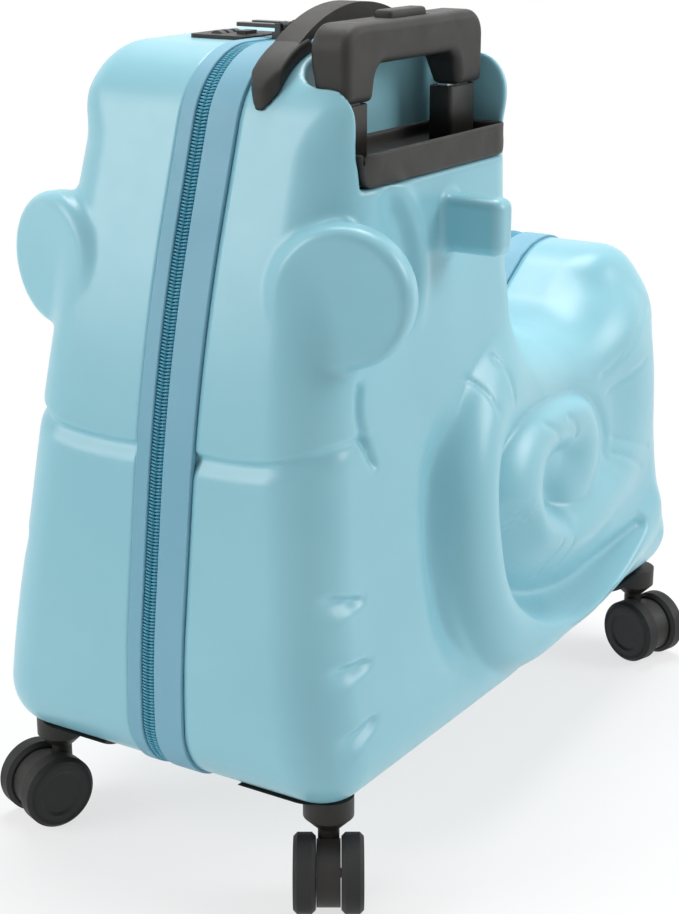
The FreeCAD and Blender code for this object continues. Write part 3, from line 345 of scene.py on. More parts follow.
def through(points, count):
    points = np.array(points, float)
    ends = np.vstack([2 * points[0] - points[1], points, 2 * points[-1] - points[-2]])
    out = []
    for i in range(len(points) - 1):
        a, b, c, d = ends[i:i + 4]
        for t in np.linspace(0, 1, count, endpoint=False):
            out.append(0.5 * (2 * b + (c - a) * t + (2 * a - 5 * b + 4 * c - d) * t ** 2
                              + (3 * b - a - 3 * c + d) * t ** 3))
    out.append(points[-1])
    return np.array(out)


def roll_map():
    heights = np.full(MAP_Y.shape, -100.0)
    for y, z, half, rise in through(ROLL_ROWS, BALLS_PER_ROW):
        near = (np.abs(MAP_Y - y) < BALL_REACH) & (np.abs(MAP_Z - z) < BALL_REACH)
        gap = np.hypot(MAP_Y[near] - y, MAP_Z[near] - z)
        radius = (half ** 2 + rise ** 2) / (2 * rise)
        edge = radius * math.sin(FLANK_LIMIT)
        flank = np.maximum(gap - edge, 0) * math.tan(FLANK_LIMIT)
        ball = np.sqrt(radius ** 2 - np.minimum(gap, edge) ** 2) - flank
        heights[near] = np.maximum(heights[near], half_width(z) + rise - radius + ball)
    return heights


ROLL_MAP = roll_map()
print("relief map", ROLL_MAP.shape, "highest crest", round(float(ROLL_MAP.max()), 1))

# %% [markdown]
# Between the outer turn and the next one a footrest is scooped out. Its lower wall is a steep ledge, and its upper
# wall leans back into the second turn, so the section is a lopsided vee along a line. The same distance from a line
# serves the creases further down.

# %% Distance from a line
def line_offset(u, v, path):
    best = np.full(u.shape, FAR)
    side = np.zeros(u.shape)
    share = np.zeros(u.shape)
    for i, (a, b) in enumerate(zip(path[:-1], path[1:])):
        d = b - a
        length = np.linalg.norm(d)
        ru, rv = u - a[0], v - a[1]
        t = np.clip((ru * d[0] + rv * d[1]) / length ** 2, 0, 1)
        gap = np.hypot(ru - t * d[0], rv - t * d[1])
        nearer = gap < best
        best = np.where(nearer, gap, best)
        side = np.where(nearer, np.sign(rv * d[0] - ru * d[1]) * gap, side)
        share = np.where(nearer, (i + t) / (len(path) - 1), share)
    return best, side, share


print("a line gives the gap, the side and the share of its run")

# %% Footrest scoop
LINE_STEPS = 6
SCOOP_LINE = through([(-54, 262), (-59, 225), (-50, 176), (-16, 137), (48, 118), (110, 117), (165, 126), (212, 138)],
                     LINE_STEPS)
SCOOP_DEPTH, SCOOP_ROUND, END_RISE = 14.0, 3.0, 40.0
LEDGE_SLOPE, LEAN_SLOPE = 2.2, 0.75
ROLL_BLEND, SCOOP_BLEND = 7.0, 5.0


def scoop_map():
    gap, side, share = line_offset(MAP_Y, MAP_Z, SCOOP_LINE)
    depth = SCOOP_DEPTH * ease(share, 0.0, 0.35) * ease(1 - share, 0.0, 0.3)
    lean = np.where(side < 0, LEDGE_SLOPE, LEAN_SLOPE)
    wall = lean * (np.sqrt(gap ** 2 + SCOOP_ROUND ** 2) - SCOOP_ROUND)
    closing = END_RISE * ease(-share, -0.28, 0.0) + END_RISE * ease(share, 0.9, 1.0)
    return half_width(MAP_Z) - depth + wall + closing


side_map = smooth_max(half_width(MAP_Z), ROLL_MAP, ROLL_BLEND)
side_map = smooth_min(side_map, scoop_map(), SCOOP_BLEND)
print("scoop line", len(SCOOP_LINE), "points, deepest", round(float((half_width(MAP_Z) - side_map).max()), 1))

# %% [markdown]
# Each front corner carries a round hand disc on a short stalk, and each side of the neck a small block to hold.
# The disc is a rounded cylinder in its own turned axes, with a face that is dished by a very large sphere.

# %% Discs and pegs
DISC_MIDDLE = np.array((109.0, -221.0, 382.0))
DISC_TURN = math.radians(16.6)
DISC_OUT = np.array((math.sin(DISC_TURN), -math.cos(DISC_TURN), 0.0))
DISC_FLAT, DISC_BACK, DISC_HALF, DISC_ROUND = 34.0, 12.5, 3.5, 9.0
DISH_RADIUS, DISH_AWAY = 260.0, 258.2
STALK_RADIUS, STALK_BACK, STALK_HALF = 29.0, 30.0, 18.0
PEG_MIDDLE = np.array((122.0, -87.0, 407.0))
PEG_HALF, PEG_ROUND = np.array((25.0, 10.5, 18.0)), 7.0


def disc_field(p):
    r = p - DISC_MIDDLE
    w = r @ DISC_OUT
    radial = np.linalg.norm(r - w[:, None] * DISC_OUT, axis=1)
    disc = rounded_pair(radial - DISC_FLAT, np.abs(w + DISC_BACK) - DISC_HALF, DISC_ROUND)
    dish = DISH_RADIUS - np.linalg.norm(r - DISC_OUT * DISH_AWAY, axis=1)
    disc = smooth_max(disc, dish, 3.0)
    stalk = np.maximum(radial - STALK_RADIUS, np.abs(w + STALK_BACK) - STALK_HALF)
    return smooth_min(disc, stalk, 8.0)


def peg_field(p):
    q = np.abs(p - PEG_MIDDLE) - (PEG_HALF - PEG_ROUND)
    outside = np.linalg.norm(np.maximum(q, 0), axis=1)
    return outside + np.minimum(q.max(axis=1), 0) - PEG_ROUND


print("disc", 2 * (DISC_FLAT + DISC_ROUND), "mm across, peg", *(2 * PEG_HALF), "mm")

# %% [markdown]
# Shallow creases are pressed into the skin: a crease on each cheek, a crescent behind each disc, three belly notches
# and the stripes on the spiral go into the map of the side. So do the hollow at the spiral's core and the dip at the
# saddle. A pressed line is a bell in section, and can be steeper on one edge, so that the light catches the other
# lip. Real grooves could be cut into the mesh, but the map keeps every crease soft and free of seams.

# %% Pressed lines
CHEEK = through([(-197, 331), (-201, 313), (-197, 294), (-186, 271)], LINE_STEPS)
WHORL = through([(-90, 288), (-104, 270), (-115, 245), (-119, 216), (-120, 188), (-116, 152), (-101, 122), (-66, 94)],
                LINE_STEPS)
TURN = through([(-27, 261), (16, 261), (78, 258), (112, 246), (127, 230), (133, 212), (131, 196), (178, 166)],
               LINE_STEPS)
STRIPES = [
    [(-78, 306), (-64, 295), (-56, 274)], [(-44, 313), (-33, 300), (-28, 273)],
    [(4, 256), (28, 243), (44, 224)], [(44, 251), (60, 241), (66, 228)],
    [(119, 258), (146, 264), (173, 277), (243, 308)], [(133, 243), (167, 250), (207, 258)],
    [(137, 210), (212, 184)], [(136, 198), (160, 189), (197, 169)],
    [(29, 168), (21, 152), (14, 137)], [(48, 163), (43, 149), (41, 135)], [(128, 100), (101, 97), (83, 83)],
]
STRIPE_DEPTH, STRIPE_HALF, STRIPE_STEPS = 1.5, 2.1, 4


def pressed_line(path, depth, sharp, soft, fade):
    gap, side, share = line_offset(MAP_Y, MAP_Z, path)
    ends = ease(share, 0, fade) * ease(1 - share, 0, fade)
    return depth * np.exp(-(side / np.where(side > 0, sharp, soft)) ** 2) * ends * (gap < 3 * max(sharp, soft))


def stripe_depth():
    depth = np.zeros(MAP_Y.shape)
    for stripe in STRIPES:
        path = through(stripe, STRIPE_STEPS) if len(stripe) > 2 else np.array(stripe, float)
        depth += pressed_line(path, STRIPE_DEPTH, STRIPE_HALF, STRIPE_HALF, 0.15)
    return depth


print("stripes:", len(STRIPES))

# %% Pressed hollows
CRESCENT_Y, CRESCENT_Z = -188, 384
NOTCHES = ((214.0, -14.0), (168.0, -7.0), (121.0, 5.0))
NOTCH_FRONT, NOTCH_LENGTH, NOTCH_DEPTH = -264, 56, 5.0
CORE_Y, CORE_Z, CORE_DEPTH = 42.0, 193.0, 8.0
SADDLE_Y, SADDLE_Z, SADDLE_DEPTH = 20.0, 312.0, 9.0


def crescent_depth():
    ring = np.hypot(MAP_Y - CRESCENT_Y, MAP_Z - CRESCENT_Z)
    turn = np.degrees(np.arctan2(MAP_Z - CRESCENT_Z, MAP_Y - CRESCENT_Y))
    arc = ease(turn, -42, -8) * ease(-turn, -74, -40)
    lip = 1.6 * np.exp(-((ring - 69) / 5.0) ** 2)
    return arc * (7.5 * ease(ring, 34, 54) * ease(-ring, -65, -57) - lip)


def notch_depth():
    depth = np.zeros(MAP_Y.shape)
    back = np.clip((MAP_Y - NOTCH_FRONT) / NOTCH_LENGTH, 0, 1)
    for top, lean in NOTCHES:
        level = (top + lean * back - MAP_Z) / (24.0 * (1 - back) + 4.0)
        depth += NOTCH_DEPTH * ease(1 - back, 0, 0.25) * ease(level, -0.12, 0.2) * ease(1 - level, 0, 0.9)
    return depth * ease(MAP_Y, -256, -234)


def core_depth():
    across = (MAP_Y - CORE_Y + 0.25 * (MAP_Z - CORE_Z)) / 11.0
    along = (MAP_Z - CORE_Z) / 20.0
    return CORE_DEPTH * np.exp(-across ** 2 - along ** 2)


def saddle_depth():
    return SADDLE_DEPTH * np.exp(-((MAP_Y - SADDLE_Y) / 26.0) ** 2 - ((MAP_Z - SADDLE_Z) / 24.0) ** 2)


side_map -= pressed_line(CHEEK, 4.5, 2.6, 4.0, 0.12) + crescent_depth() + notch_depth() + stripe_depth()
side_map -= (pressed_line(WHORL, 9.0, 7.0, 15.0, 0.3) + pressed_line(TURN, 2.5, 5.0, 5.0, 0.3)
             + core_depth() + saddle_depth())
print("creases pressed, lowest side", round(float(side_map.min()), 1))

# %% [markdown]
# A cubic B-spline reads the map at any place. It also smooths it a little, and gives the slope, which turns a height
# above the side into a distance from it. The smile runs across the front, so it is pressed in from there.

# %% Reading the map
def spline_weights(t):
    weights = np.stack([(1 - t) ** 3, 3 * t ** 3 - 6 * t ** 2 + 4, -3 * t ** 3 + 3 * t ** 2 + 3 * t + 1, t ** 3]) / 6
    slopes = np.stack([-(1 - t) ** 2, 3 * t ** 2 - 4 * t, -3 * t ** 2 + 2 * t + 1, t ** 2]) / 2
    return weights, slopes


def above_side(x, y, z):
    u = np.clip((y - MAP_Y[0, 0]) / CELL, 1, MAP_Y.shape[0] - 3.01)
    v = np.clip((z - MAP_Z[0, 0]) / CELL, 1, MAP_Y.shape[1] - 3.01)
    i, j = u.astype(int), v.astype(int)
    wu, du = spline_weights(u - i)
    wv, dv = spline_weights(v - j)
    height, slope_y, slope_z = np.zeros(len(x)), np.zeros(len(x)), np.zeros(len(x))
    for a in range(4):
        row = [side_map[i + a - 1, j + b - 1] for b in range(4)]
        level = sum(w * value for w, value in zip(wv, row))
        height += wu[a] * level
        slope_y += du[a] * level
        slope_z += wu[a] * sum(w * value for w, value in zip(dv, row))
    return (x - height) / np.sqrt(1 + (slope_y ** 2 + slope_z ** 2) / CELL ** 2)


print("spline weights add up to", float(spline_weights(np.array(0.3))[0].sum()))

# %% Smile and case
SMILE = through([(6, 283), (40, 282), (72, 284), (100, 291), (121, 298)], LINE_STEPS)
SMILE_DEPTH, SMILE_SHARP, SMILE_SOFT, SMILE_REACH = 3.6, 2.6, 6.5, 26
EDGE_ROUND, SEAT_MORE, HORN_LESS = 38.0, 16.0, 14.0
SIDE_FROM, FAR_INSIDE = 36, -200.0


def smile_depth(p):
    depth = np.zeros(len(p))
    front = (p[:, 1] < -170) & (p[:, 2] > 255) & (p[:, 2] < 330)
    x, y, z = p[front].T
    gap, side, share = line_offset(x, z, SMILE)
    bell = np.exp(-(side / np.where(side > 0, SMILE_SHARP, SMILE_SOFT)) ** 2)
    press = SMILE_DEPTH * bell * (gap < SMILE_REACH) * ease(1 - share, 0, 0.22)
    depth[front] = ease(-y, 170, 215) * press
    return depth


def case_field(p):
    x, y, z = p.T
    seat = SEAT_MORE * ease(y, -30, 50) * ease(-z, -350, -310)
    horn = HORN_LESS * ease(z, 455, 490) * ease(y, -222, -192)
    side = np.full(len(p), FAR_INSIDE)
    near_side = x > SIDE_FROM
    side[near_side] = above_side(x[near_side], y[near_side], z[near_side])
    return rounded_both(outline_distance(y, z), side, EDGE_ROUND + seat - horn)


print("smile runs from", SMILE[0], "to", SMILE[-1])

# %% [markdown]
# A whole shell is the case with its discs, pegs and smile, less one hollow: the right shell has the trolley's pocket,
# and the left one a well for the lock. The inside is plainer. It keeps the wall's thickness from the outside and from
# that hollow, and doesn't follow the discs, because a real shell is too thick there to show them.

# %% Whole fields of the two shells
WALL = 3.5
POCKET_BACK, POCKET_MIDDLE, POCKET_HALF, POCKET_ROUND, POCKET_FLOOR = 55.0, -96.0, 89.0, 18.0, 440.0
LOCK_MIDDLE, LOCK_HALF = np.array((41.5, -106.0, 516.0)), np.array((19.3, 17.3, 15.3))
DISC_FROM, DISC_BLEND, PEG_BLEND, POCKET_BLEND = 60, 7.0, 6.0, 4.0


def pocket_field(p):
    x, y, z = p.T
    plan = rounded_both(POCKET_BACK - x, np.abs(y - POCKET_MIDDLE) - POCKET_HALF, POCKET_ROUND)
    return np.maximum(plan, POCKET_FLOOR - z)


def lock_well_field(p):
    return (np.abs(p - LOCK_MIDDLE) - LOCK_HALF).max(axis=1)


def moulded_field(p):
    field = case_field(p)
    near_side = p[:, 0] > DISC_FROM
    q = p[near_side]
    part = smooth_min(field[near_side], disc_field(q), DISC_BLEND)
    field[near_side] = smooth_min(part, peg_field(q), PEG_BLEND)
    return field + smile_depth(p)


def right_outside(p):
    return smooth_max(moulded_field(p), -pocket_field(p), POCKET_BLEND)


def left_outside(p):
    return np.maximum(moulded_field(p), -lock_well_field(p))


def cavity(p):
    x, y, z = p.T
    plain = rounded_both(outline_distance(y, z), x - half_width(z), EDGE_ROUND)
    return np.maximum(plain, case_field(p)) + WALL


def right_inside(p):
    return np.maximum(cavity(p), WALL - pocket_field(p))


def left_inside(p):
    return np.maximum(cavity(p), WALL - lock_well_field(p))


print("fields ready, wall", WALL, "mm")

# %% [markdown]
# Surface nets put one vertex in each grid cell that the surface crosses and one quad on each grid edge that it
# crosses. A coarse pass finds the blocks near the surface, so that only those are worked out finely. Each vertex is
# then moved onto the true surface along the field's slope, and that slope is kept as the vertex normal. Marching
# cubes would do too, but they leave thin slivers, and quads shade better.

# %% Slope of a field
TETRA = np.array([(1, 1, 1), (1, -1, -1), (-1, 1, -1), (-1, -1, 1)], float)


def slope(field, p, step=0.6):
    values = [field(p + step * way) for way in TETRA]
    lean = sum(value[:, None] * way for value, way in zip(values, TETRA)) / (4 * step)
    return lean, sum(values) / 4


print("slope of a level field", slope(lambda p: p[:, 2], np.zeros((1, 3)))[0][0].round(3))

# %% Values on the grid
BLOCK = 4
NEAR_BLOCKS = 1.25


def grid_values(field, low, counts, step):
    blocks = -(-counts // BLOCK)
    index = np.stack(np.meshgrid(*(np.arange(n) for n in blocks), indexing="ij"), -1).reshape(-1, 3)
    values = field(low + (index * BLOCK + BLOCK / 2) * step)
    near = np.abs(values) < BLOCK * step * NEAR_BLOCKS
    grid = np.repeat(np.repeat(np.repeat(values.reshape(blocks), BLOCK, 0), BLOCK, 1), BLOCK, 2)
    grid = np.pad(grid, ((0, 1),) * 3, mode="edge")
    local = np.stack(np.meshgrid(*(np.arange(BLOCK + 1),) * 3, indexing="ij"), -1).reshape(-1, 3)
    corners = (index[near][:, None, :] * BLOCK + local).reshape(-1, 3)
    flat = np.unique(np.ravel_multi_index(corners.T, grid.shape))
    points = np.stack(np.unravel_index(flat, grid.shape), -1)
    grid.reshape(-1)[flat] = field(low + points * step)
    return grid


print("grid blocks of", BLOCK, "cells")

# %% Vertices and quads of the net
OFFSETS = np.array([(c & 1, c >> 1 & 1, c >> 2 & 1) for c in range(8)])
EDGES = [(a, b) for a in range(8) for b in range(a + 1, 8) if bin(a ^ b).count("1") == 1]
RING = ((-1, -1), (0, -1), (0, 0), (-1, 0))


def crossing_middles(grid, cells):
    corner = np.stack([grid[tuple((cells + o).T)] for o in OFFSETS], 1)
    place = np.zeros((len(cells), 3))
    hits = np.zeros(len(cells))
    for a, b in EDGES:
        fa, fb = corner[:, a], corner[:, b]
        cross = (fa < 0) != (fb < 0)
        t = np.where(cross, fa / np.where(cross, fa - fb, 1), 0)
        place += np.where(cross[:, None], OFFSETS[a] + t[:, None] * (OFFSETS[b] - OFFSETS[a]), 0)
        hits += cross
    return place / hits[:, None]


def net_quads(inside, number, counts):
    quads = []
    for axis in range(3):
        u, v = (axis + 1) % 3, (axis + 2) % 3
        edge = np.argwhere(inside != np.roll(inside, -1, axis))
        edge = edge[(edge[:, axis] < counts[axis]) & (edge[:, u] > 0) & (edge[:, v] > 0)
                    & (edge[:, u] < counts[u]) & (edge[:, v] < counts[v])]
        ring = []
        for du, dv in RING:
            cell = edge.copy()
            cell[:, u] += du
            cell[:, v] += dv
            ring.append(number[tuple(cell.T)])
        ring = np.stack(ring, 1)
        flip = ~inside[tuple(edge.T)]
        ring[flip] = ring[flip][:, ::-1]
        quads.append(ring)
    return np.vstack(quads)


print("cell edges:", len(EDGES))

# %% Surface nets
FLATTEST, NORMAL_STEP = 0.25, 0.8


def surface_nets(field, low, high, step):
    low, high = np.array(low, float), np.array(high, float)
    counts = np.ceil((high - low) / step).astype(int)
    counts = -(-counts // BLOCK) * BLOCK
    grid = grid_values(field, low, counts, step)
    inside = grid < 0
    total = sum(inside[ox:ox + counts[0], oy:oy + counts[1], oz:oz + counts[2]].astype(np.int8)
                for ox, oy, oz in OFFSETS)
    cells = np.argwhere((total > 0) & (total < 8))
    number = np.full(tuple(counts), -1)
    number[tuple(cells.T)] = np.arange(len(cells))
    points = low + (cells + crossing_middles(grid, cells)) * step
    first = cells[:, 0] == 0
    lean, level = slope(field, points)
    steepness = np.maximum((lean * lean).sum(1), FLATTEST)
    points -= np.clip(level, -step, step)[:, None] * lean / steepness[:, None]
    points[first, 0] = low[0]
    normals, _ = slope(field, points, NORMAL_STEP)
    return points, normals / np.linalg.norm(normals, axis=1)[:, None], net_quads(inside, number, counts), first


print("surface nets ready")

# %% [markdown]
# A shell is the fine outside, a step down where the rim band sits, the rim itself, and a plainer inside. The outside
# stops at the step, its edge loop is pushed in and then across to the mouth, and a bridge joins it to the inside.
# The left shell is worked out as a right one and then mirrored, so its faces are turned round as well.

# %% Rim of a shell
MOUTH_X, BAND_SEAT, SAME_PLACE = 5.0, 1.5, 0.01


def open_loop(bm, at):
    return [e for e in bm.edges if e.is_boundary and all(abs(v.co.x - at) < SAME_PLACE for v in e.verts)]


def drawn_out(bm, edges):
    made = bmesh.ops.extrude_edge_only(bm, edges=edges)["geom"]
    verts = [item for item in made if isinstance(item, bmesh.types.BMVert)]
    return verts, [item for item in made if isinstance(item, bmesh.types.BMEdge) and item.is_boundary]


def close_rim(bm, step_x):
    rim, mouth = open_loop(bm, step_x), open_loop(bm, MOUTH_X)
    down, down_edges = drawn_out(bm, rim)
    outward, _ = slope(lambda p: outline_distance(p[:, 1], p[:, 2]), np.array([v.co for v in down]))
    for vert, n in zip(down, outward):
        vert.co -= Vector((0, n[1], n[2])) * BAND_SEAT
    across, lip = drawn_out(bm, down_edges)
    for vert in across:
        vert.co.x = MOUTH_X
    bmesh.ops.bridge_loops(bm, edges=lip + mouth)
    bmesh.ops.recalc_face_normals(bm, faces=bm.faces)


print("rim steps down", BAND_SEAT, "mm under the band")

# %% Shell meshes
OUTSIDE_LOW, INSIDE_LOW, SHELL_HIGH = (-290.0, 20.0), (-290.0, 40.0), (175.0, 300.0, 530.0)
OUTSIDE_STEP, INSIDE_STEP = 2.4, 8.0


def put(name, data):
    made = bpy.data.objects.new(name, data)
    bpy.context.scene.collection.objects.link(made)
    return made


def shell_net(name, outside, inside, step_x):
    points, normals, quads, edge = surface_nets(outside, (step_x, *OUTSIDE_LOW), SHELL_HIGH, OUTSIDE_STEP)
    inner, _, inner_quads, _ = surface_nets(inside, (MOUTH_X, *INSIDE_LOW), SHELL_HIGH, INSIDE_STEP)
    bm = bmesh.new()
    outer_verts = [bm.verts.new(p) for p in points]
    for quad in quads:
        bm.faces.new([outer_verts[i] for i in quad])
    inner_verts = [bm.verts.new(p) for p in inner]
    for quad in inner_quads:
        bm.faces.new([inner_verts[i] for i in quad[::-1]])
    close_rim(bm, step_x)
    print(name, "edges that aren't shared by two faces:", sum(1 for e in bm.edges if not e.is_manifold))
    mesh = bpy.data.meshes.new(name)
    bm.to_mesh(mesh)
    bm.free()
    return mesh, normals, edge


def shell_piece(name, outside, inside, step_x, mirror):
    mesh, normals, edge = shell_net(name, outside, inside, step_x)
    co = np.empty(len(mesh.vertices) * 3)
    mesh.vertices.foreach_get("co", co)
    co = co.reshape(-1, 3) * MM
    if mirror:
        co[:, 0] *= -1
        normals = normals * (-1, 1, 1)
        mesh.flip_normals()
    mesh.vertices.foreach_set("co", co.ravel())
    mesh.update()
    mesh.shade_smooth()
    full = np.zeros((len(mesh.vertices), 3))
    full[:len(normals)] = normals
    full[:len(normals)][edge] = 0
    mesh.normals_split_custom_set_from_vertices(full)
    mesh.materials.append(shell_blue)
    print(name, "triangles", sum(len(f.vertices) - 2 for f in mesh.polygons))
    return put(name, mesh)


# %% The two shells
right_skin = shell_piece("right_shell_skin", right_outside, right_inside, 27.3, False)
left_skin = shell_piece("left_shell_skin", left_outside, left_inside, 15.8, True)
for skin, body, node in ((right_skin, "right_case", "right_shell"), (left_skin, "left_case", "left_shell")):
    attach(skin, body)
    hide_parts(node)

# %% [markdown]
# ## Handles
# The same nets make the black mouldings at the top: the tray in its pocket, the arched grip with its button, and the
# two end blocks of the carry handle. Each is a field of its own, with a finer grid, and takes the place of the plain
# solid in the frame. Hollows for the tubes, the rods and the button stay open, because those pieces move in them.

# %% Field pieces
def box_field(p, low, high, radius):
    low, high = np.array(low), np.array(high)
    q = np.abs(p - (low + high) / 2) - (high - low) / 2 + radius
    return np.linalg.norm(np.maximum(q, 0), axis=1) + np.minimum(q.max(axis=1), 0) - radius


def field_piece(name, field, low, high, step, material, body, node, extra=None):
    points, normals, quads, _ = surface_nets(field, low, high, step)
    verts, faces = points, [tuple(quad) for quad in quads]
    if extra:
        verts = np.vstack([points, extra[0]])
        faces += [tuple(i + len(points) for i in face) for face in extra[1]]
    mesh = bpy.data.meshes.new(name)
    mesh.from_pydata([tuple(v) for v in verts * MM], [], faces)
    mesh.update()
    mesh.shade_smooth()
    full = np.zeros((len(verts), 3))
    full[:len(normals)] = normals
    mesh.normals_split_custom_set_from_vertices(full)
    mesh.materials.append(material)
    made = put(name, mesh)
    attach(made, body)
    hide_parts(node)
    print(name, "faces", len(faces))


print("field pieces take their normals from the field")

# %% [markdown]
# The tray is a shallow tub that lines the pocket, with two sleeves that the tubes slide in. A sleeve's wall is
# thinner than a grid cell, so it would come out ragged from the net. It is lofted instead, from rounded loops one
# over another.

# %% Sleeves of the tray
TUBES = (-168.0, -36.0)
TUBE_X = 78.0
SLEEVE_FOOT, SLEEVE_SHOULDER, SLEEVE_TOP = 449.0, 485.4, 486.0
SLEEVE_OUTER, SLEEVE_EDGE, SLEEVE_INNER = (16.0, 8.6, 3.0), (15.5, 8.1, 2.6), (14.9, 7.4, 2.0)
SLEEVE_LEVELS = ((SLEEVE_OUTER, SLEEVE_FOOT), (SLEEVE_OUTER, SLEEVE_SHOULDER), (SLEEVE_EDGE, SLEEVE_TOP),
                 (SLEEVE_INNER, SLEEVE_TOP), (SLEEVE_INNER, SLEEVE_FOOT))


def sleeve_loop(half_y, half_x, radius):
    loop = []
    for sy, sx, start in ((1, 1, 0), (-1, 1, 90), (-1, -1, 180), (1, -1, 270)):
        for turn in (0, 30, 60, 90):
            a = math.radians(start + turn)
            loop.append((TUBE_X + sx * (half_x - radius) + radius * math.sin(a),
                         sy * (half_y - radius) + radius * math.cos(a)))
    return loop


def sleeves():
    verts, faces = [], []
    for middle in TUBES:
        rings = []
        for sizes, z in SLEEVE_LEVELS:
            loop = sleeve_loop(*sizes)
            rings.append([len(verts) + i for i in range(len(loop))])
            verts += [(x, middle + y, z) for x, y in loop]
        for near, far in zip(rings, rings[1:] + rings[:1]):
            for i in range(len(near)):
                j = (i + 1) % len(near)
                faces.append((near[j], near[i], far[i], far[j]))
    return np.array(verts), faces


print("sleeves", 2 * SLEEVE_OUTER[0], "by", 2 * SLEEVE_OUTER[1], "mm outside")

# %% Trolley tray
TRAY_BACK, TRAY_HALF, TRAY_ROUND, TRAY_RIM = 55.3, 88.7, 17.7, 460.5
WELL_BACK, WELL_HALF, WELL_ROUND, WELL_FLOOR, WELL_LIP = 58.5, 85.5, 14.5, 452.0, 3.4
HOLE_HALF_Y, HOLE_HALF_X, HOLE_TOP = 15.4, 8.0, 453.0


def tray_field(p):
    x, y, z = p.T
    across = np.abs(y - POCKET_MIDDLE)
    plan = rounded_both(TRAY_BACK - x, across - TRAY_HALF, TRAY_ROUND)
    tub = np.maximum(np.maximum(plan, POCKET_FLOOR - z), z - TRAY_RIM)
    tub = smooth_max(tub, case_field(p) - 0.6, 1.5)
    face = rounded_both(across - TRAY_HALF, POCKET_FLOOR - z, 8.0)
    tub = smooth_max(tub, face, 1.0)
    well = np.maximum(rounded_both(WELL_BACK - x, across - WELL_HALF, WELL_ROUND), WELL_FLOOR - z)
    well = np.maximum(well, x - half_width(z) + WELL_LIP)
    tub = smooth_max(tub, -well, 2.0)
    for middle in TUBES:
        hole = np.maximum(np.abs(y - middle) - HOLE_HALF_Y, np.abs(x - TUBE_X) - HOLE_HALF_X)
        tub = np.maximum(tub, -np.maximum(hole, z - HOLE_TOP))
    return tub


field_piece("tray_moulding", tray_field, (50.0, -192.0, 434.0), (112.0, 0.0, 466.0), 1.5, black_plastic,
            "right_case", "trolley_tray", sleeves())

# %% [markdown]
# The grip is an arch with rounded shoulders, and its legs taper to the tubes. It is drawn as a flat arch, given its
# depth with rounded edges, and its back is sloped off. The rods and the button get their room as plain boxes.

# %% Grip and button
GRIP_MIDDLE, GRIP_HALF, GRIP_TOP, GRIP_FOOT, GRIP_DEPTH = -102.0, 82.5, 533.0, 487.0, 14.0
SHOULDER_ROUND, OPENING_ROUND, GRIP_ROUND = 16.0, 8.0, 6.0
OPENING_HALF, OPENING_TOP, LEG_TAPER = 47.5, 508.0, 0.22
BACK_X, BACK_FROM, BACK_SLOPE, BACK_BLEND = 64.0, 512.0, 0.30, 4.0
ROD_ROOM = ((73.5, -173.0, 512.0), (82.5, -31.0, 528.0))
BUTTON_ROOM = ((70.9, -124.1, 512.0), (85.1, -79.9, 540.0))
BUTTON_BOX, BUTTON_ROUND = ((71.5, -123.5, 521.0), (84.5, -80.5, 537.6)), 2.5
ROD_HOLE, ROD_HOLE_TOP = 4.0, 520.0


def grip_field(p):
    x, y, z = p.T
    across = np.abs(y - GRIP_MIDDLE)
    outer = rounded_both(across - GRIP_HALF, z - GRIP_TOP, SHOULDER_ROUND)
    opening = rounded_both(across - OPENING_HALF - LEG_TAPER * (OPENING_TOP - z), z - OPENING_TOP, OPENING_ROUND)
    arch = np.maximum(np.maximum(outer, -opening), GRIP_FOOT - z)
    grip = rounded_both(arch, np.abs(x - TUBE_X) - GRIP_DEPTH, GRIP_ROUND)
    back = BACK_X + BACK_SLOPE * np.maximum(BACK_FROM - z, 0) - x
    grip = smooth_max(grip, back, BACK_BLEND)
    hollow = np.minimum(box_field(p, *ROD_ROOM, 0.0), box_field(p, *BUTTON_ROOM, 0.0))
    for middle in TUBES:
        hollow = np.minimum(hollow, np.maximum(np.hypot(x - TUBE_X, y - middle) - ROD_HOLE, z - ROD_HOLE_TOP))
    return np.maximum(grip, -hollow)


def button_field(p):
    return box_field(p, *BUTTON_BOX, BUTTON_ROUND)


field_piece("grip_moulding", grip_field, (60.0, -190.0, 482.0), (96.0, -14.0, 539.0), 1.7, black_plastic,
            "trolley_inner", "trolley_grip")
field_piece("button_moulding", button_field, (68.0, -128.0, 516.0), (88.0, -76.0, 542.0), 1.3, black_plastic,
            "grip_button", "trolley_button")

# %% [markdown]
# The carry handle's strap ends in two blocks that follow the curve of the case. The outline's own distance gives that
# curve, so one field serves both ends: a bar along the case, with two cut corners at its tip and a slope to the
# strap.

# %% Ends of the carry handle
CARRY_X, CARRY_HALF, CARRY_HEIGHT, CARRY_CUT, CARRY_GAP = 40.0, 10.5, 9.5, 7.0, 0.3
RAMP_OVER, RAMP_RUN, RAMP_HEIGHT, DIAGONAL = 4.5, 0.8, 0.6, 0.7071


def base_field(end, inner):
    inwards = 1.0 if inner > end else -1.0

    def field(p):
        x, y, z = p.T
        over = outline_distance(y, z)
        across = np.abs(x - CARRY_X)
        run = (y - end) * inwards
        block = smooth_max(over - CARRY_HEIGHT, across - CARRY_HALF, 3.5)
        block = smooth_max(block, (across - CARRY_HALF + CARRY_CUT - run) * DIAGONAL, 1.5)
        block = smooth_max(block, -run, 2.5)
        ramp = (run - abs(inner - end)) * RAMP_RUN + (over - RAMP_OVER) * RAMP_HEIGHT
        block = smooth_max(block, ramp, 2.0)
        return np.maximum(block, CARRY_GAP - over)

    return field


field_piece("carry_end_front", base_field(-199.0, -156.0), (26.0, -206.0, 480.0), (54.0, -140.0, 530.0), 1.3,
            black_plastic, "right_case", "carry_base_front")
field_piece("carry_end_rear", base_field(4.0, -42.0), (26.0, -60.0, 480.0), (54.0, 14.0, 530.0), 1.3,
            black_plastic, "right_case", "carry_base_rear")

